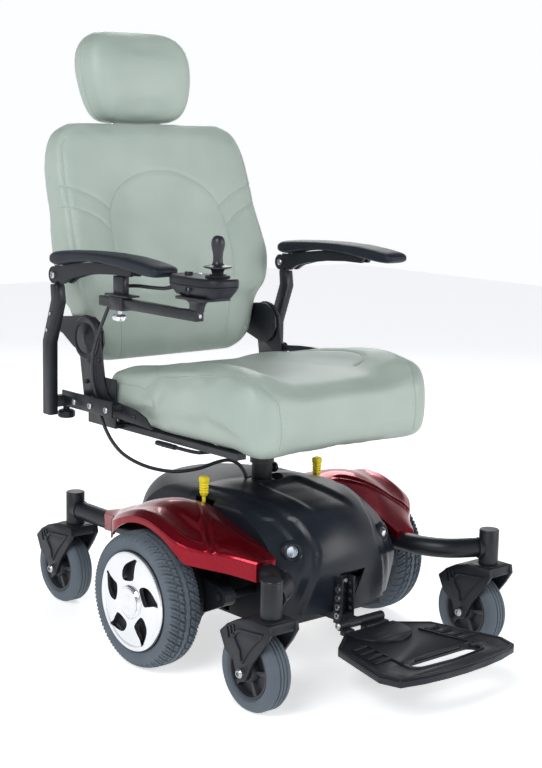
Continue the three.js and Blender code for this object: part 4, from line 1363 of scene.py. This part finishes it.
cheekOutline = [(289, 736.6), (272, 736.6), (226, 744.6), (174, 751), (119, 753), (58, 749), (34, 744), (40, 735),
                (90, 735), (120, 733), (150, 731), (200, 724), (240, 714), (262, 702), (280, 706)]


armPad = {
    "rear": 297, "length": 357, "steps": 40, "x": 296,
    "top": [(-297, 752), (-292, 759), (-280, 764), (-240, 768), (-180, 771.5), (-110, 773), (-40, 771.5), (10, 767),
            (46, 762), (56, 758), (60, 753)],
    "low": [(-297, 747), (-292, 742), (-276, 737.6), (-262, 738.8), (-226, 746), (-174, 752.4), (-119, 754.4),
            (-58, 750.4), (-30, 746), (20, 741), (48, 740.6), (57, 744), (60, 749)],
    "half": [(-297, 22), (-288, 27), (-260, 30), (30, 30), (52, 29), (58, 26), (60, 22)],
}


def makeArmPad(name):
    rings = []
    for i in range(armPad["steps"] + 1):
        y = armPad["rear"] - armPad["length"] * i / armPad["steps"]
        top, low, half = (between(-y, armPad[key]) for key in ("top", "low", "half"))
        rings.append([])
        for a, b in squarish(half, (top - low) / 2, 4.2, 26):
            crown = 1.6 * (1 - (a / 30) ** 2) if b > 0 else 0
            rings[-1].append((armPad["x"] + a, y, (top + low) / 2 + b + crown))
    return smoothed(loft(name, rings, 60))


def addArms():
    for hand, side in sides.items():
        body = f"arm_{hand}"
        cheeks = ((283, 291), (301, 309))
        pieces = [slab("cheek", [cheekOutline], "x", *cheek, 1) for cheek in cheeks]
        pieces.append(block("web", 288, 304, 52, 262, 738, 744, 1))
        pieces += [rod("ear", 17, *cheek, armPivot, "x", 36) for cheek in cheeks]
        assembled(f"arm_carrier_{hand}", pieces, body, "black_plastic", f"arm_bracket_{hand}", side=side)
        heads = [bolt("head", (x, *armPivot[1:]), "x", 7, 4.2, out) for x, out in ((309, 1), (283, -1))]
        assembled(f"arm_pivot_{hand}", heads, body, "steel", side=side)
        place(mirrored(makeArmPad(f"arm_top_{hand}"), side), body, "pad_vinyl", f"arm_pad_{hand}")


handleRoute = [(-66, -62, 408), (-120, -60, 408), (-196, -52, 408), (-214, -36, 408), (-217, 20, 408)]


def addSeatDetails():
    rings = []
    for k in range(13):
        width = 5.5 + 2.0 * math.sin(math.pi * k / 12) - 1.2 * (k in (3, 6, 9))  # three finger grooves
        rings.append([(-217 + a, 16 + 58 * k / 12, 407.7 + b) for a, b in squarish(width, 4.6, 3, 18)])
    pieces = [loft("swivel_grip", rings), pipe("rod", splinePoints(handleRoute, 8), 3.5, 14),
              rod("hub", 9, 402, 413.5, (-66, -62, 0), "z", 24)]
    assembled("swivel_handle", pieces, "seat_release", "black_plastic", "swivel_lever")
    rings = []
    for k in range(17):
        t = k / 16
        size = 6 + 3.5 * ease(t * 1.6) - 2 * ease((t - 0.9) / 0.1)
        rings.append([(246.5 + a, 238 - 120 * t, 536.5 + 3 * t + b) for a, b in squarish(4.2, size, 3, 18)])
    pieces = [loft("recline_grip", rings), rod("boss", 12, 238.5, 250, (0, 236, 536), "x", 28)]
    assembled("recline_handle", pieces, "recline_release", "black_plastic", "recline_lever")


post = {
    "collar": [(21, 352), (24.5, 353), (24.5, 381), (21, 382)],
    "base": [(21, 306), (34, 306), (36, 309), (30, 314), (23, 318), (21, 318)],
    "knob": [(0, 22), (6, 22), (6, 27), (10, 28), (11, 31), (10, 35), (0, 36)],
    "y": 15, "knobHeight": 338,
}


def addPost():
    pieces = [turned("socket", post[key], (0, post["y"], 0), "z", 40) for key in ("collar", "base")]
    assembled("post_collar", pieces, "base", "black_frame")
    knob = turned("post_knob", post["knob"], (0, post["y"], post["knobHeight"]), "x", 28)
    place(knob, "base", "black_plastic")


addRecliners()
addArmPosts()
addArms()
addSeatDetails()
addPost()
print("seat hardware made")


pod = {
    "x": -275, "y": -134, "halfX": 40, "halfY": 74,
    "levels": ((715.3, 15), (716.5, 12), (722, 8), (730, 2.5), (733, 1.4), (734, 0.2), (735.6, 0.2), (736.4, 1.2),
               (738, 0), (746, 0), (749, 1.4), (750.6, 4), (751, 8)),
    "collar": [(15.6, 748), (20.5, 748), (22, 750.5), (22.2, 753.5), (20.5, 755.6), (17, 756), (15.6, 755)],
}
stick = {
    "at": (-273, -172, 0),
    "grip": [(0, 735), (4.5, 735), (4.5, 745), (9.5, 749), (9.8, 757), (11.5, 763.6), (14, 766), (25, 768.6),
             (25.3, 770), (24.4, 771.2), (12, 773.4), (9.6, 776), (8.7, 781), (8.6, 788), (9.4, 795), (10.8, 801),
             (12, 807), (12.2, 812), (11, 818), (8, 822.6), (4, 824.8), (0, 825.4)],
}
controls = {
    "button": [(0, 748.6), (5.2, 748.6), (5.6, 750), (5.4, 752), (4, 752.8), (0, 752.9)], "buttonAt": (-263, -108, 0),
    "dial": ((748.6, 7.2), (756, 7.2), (757, 6.4)), "dialAt": (-287, -108),
    "socket": [(4.2, -1.2), (7.6, -1.2), (8, 0.4), (7, 2.2), (4.2, 2.2)], "socketAt": (-0.3136, -0.140, 0.7285),
}


def makePod():
    rings = []
    for z, inset in pod["levels"]:
        rings.append([])
        for x, y in squarish(pod["halfX"] - inset, pod["halfY"] - inset, 3.2, 56):
            narrow = 1 - 0.10 * ease((y - 10) / 60)
            rings[-1].append((pod["x"] + x * narrow, pod["y"] + y, z))
    shell = carved(loft("pod", rings, 38), [rod("cut", 15.5, 724, 775, stick["at"], "z", 36)])
    return [shell, turned("collar", pod["collar"], stick["at"], "z", 44)]


def addJoystick():
    assembled("pod_shell", makePod(), "arm_right", "black_plastic", "joystick_pod")
    grip = turned("stick_grip", stick["grip"], stick["at"], "z", 48)
    place(grip, "stick", "black_plastic", "joystick_stick", finish="cable_jacket")
    button = turned("power_cap", controls["button"], controls["buttonAt"], "z", 28)
    place(button, "power", "steel", "power_button")
    dial = fluted("speed_dial", *controls["dialAt"], controls["dial"], lambda size, k: size + 0.4 * (k % 2), 36)
    place(dial, "speed", "black_plastic", "speed_knob")
    turn = Matrix.Rotation(math.pi, 4, "Z") @ Matrix.Rotation(math.radians(-12), 4, "Y")
    socket = turned("charge_ring", controls["socket"], (0, 0, 0), "x", 30)
    place(moved(socket, Matrix.Translation(controls["socketAt"]) @ turn), "arm_right", "black_plastic")
    place(rod("charge_pins", 4.0, -313.2, -311, (0, -140, 728.5), "x", 20), "arm_right", "steel")


mount = {
    "neck": ((689, 9), (696, 9.4), (704, 11.5), (709, 15)),
    "knob": ((648, 9), (649.5, 12), (653, 13.4), (657, 13.4), (660, 11), (661, 7)), "knobAt": (-296, 88),
}


def addJoystickMount():
    tube = block("tube", -305.5, -286.5, -152, 145, 672.5, 691.5, 1.8)
    pieces = [
        carved(tube, [block("bore", -303.5, -288.5, 120, 150, 674.5, 689.5)]),
        block("clamp", -309, -283, 66, 106, 668.6, 695, 1.6),
        block("lug", -304, -288, 70, 100, 694, 732.6, 1.4),
        block("fin", -311, -281, 46, 118, 695, 698.6, 1.0),
        block("foot", -304, -287, -152, -131, 690, 711, 1.6),
        stacked("neck", -294, -143, mount["neck"], 1.3, 4, 24),
        slab("shelf", [[(-308, -176), (-246, -176), (-246, -96), (-308, -96)]], "z", 709, 714.6, 1),
    ]
    assembled("joystick_mount", pieces, "arm_right", "black_frame", "joystick_bracket")
    place(rod("tube_bolt", 3.4, -1.6, 0, (-296, -152, 682), "y", 16), "arm_right", "steel")
    x, y = mount["knobAt"]
    lobes = fluted("lobes", x, y, mount["knob"], lambda size, k: size * (1 + 0.10 * math.cos(math.pi * k / 5)), 50)
    stem = rod("stem", 4, 660, 668.4, (x, y, 0), "z", 20)
    assembled("clamp_knob", [lobes, stem], "clamp_screw", "chrome", "thumb_knob")


addJoystick()
addJoystickMount()
print("joystick made")


for entry in frame["record"]["subparts"]:
    node = frame["nodes"][entry["node"]]
    for held in node.material_slots:
        held.material = finishes[entry["material_slot"]]
print("frame painted")
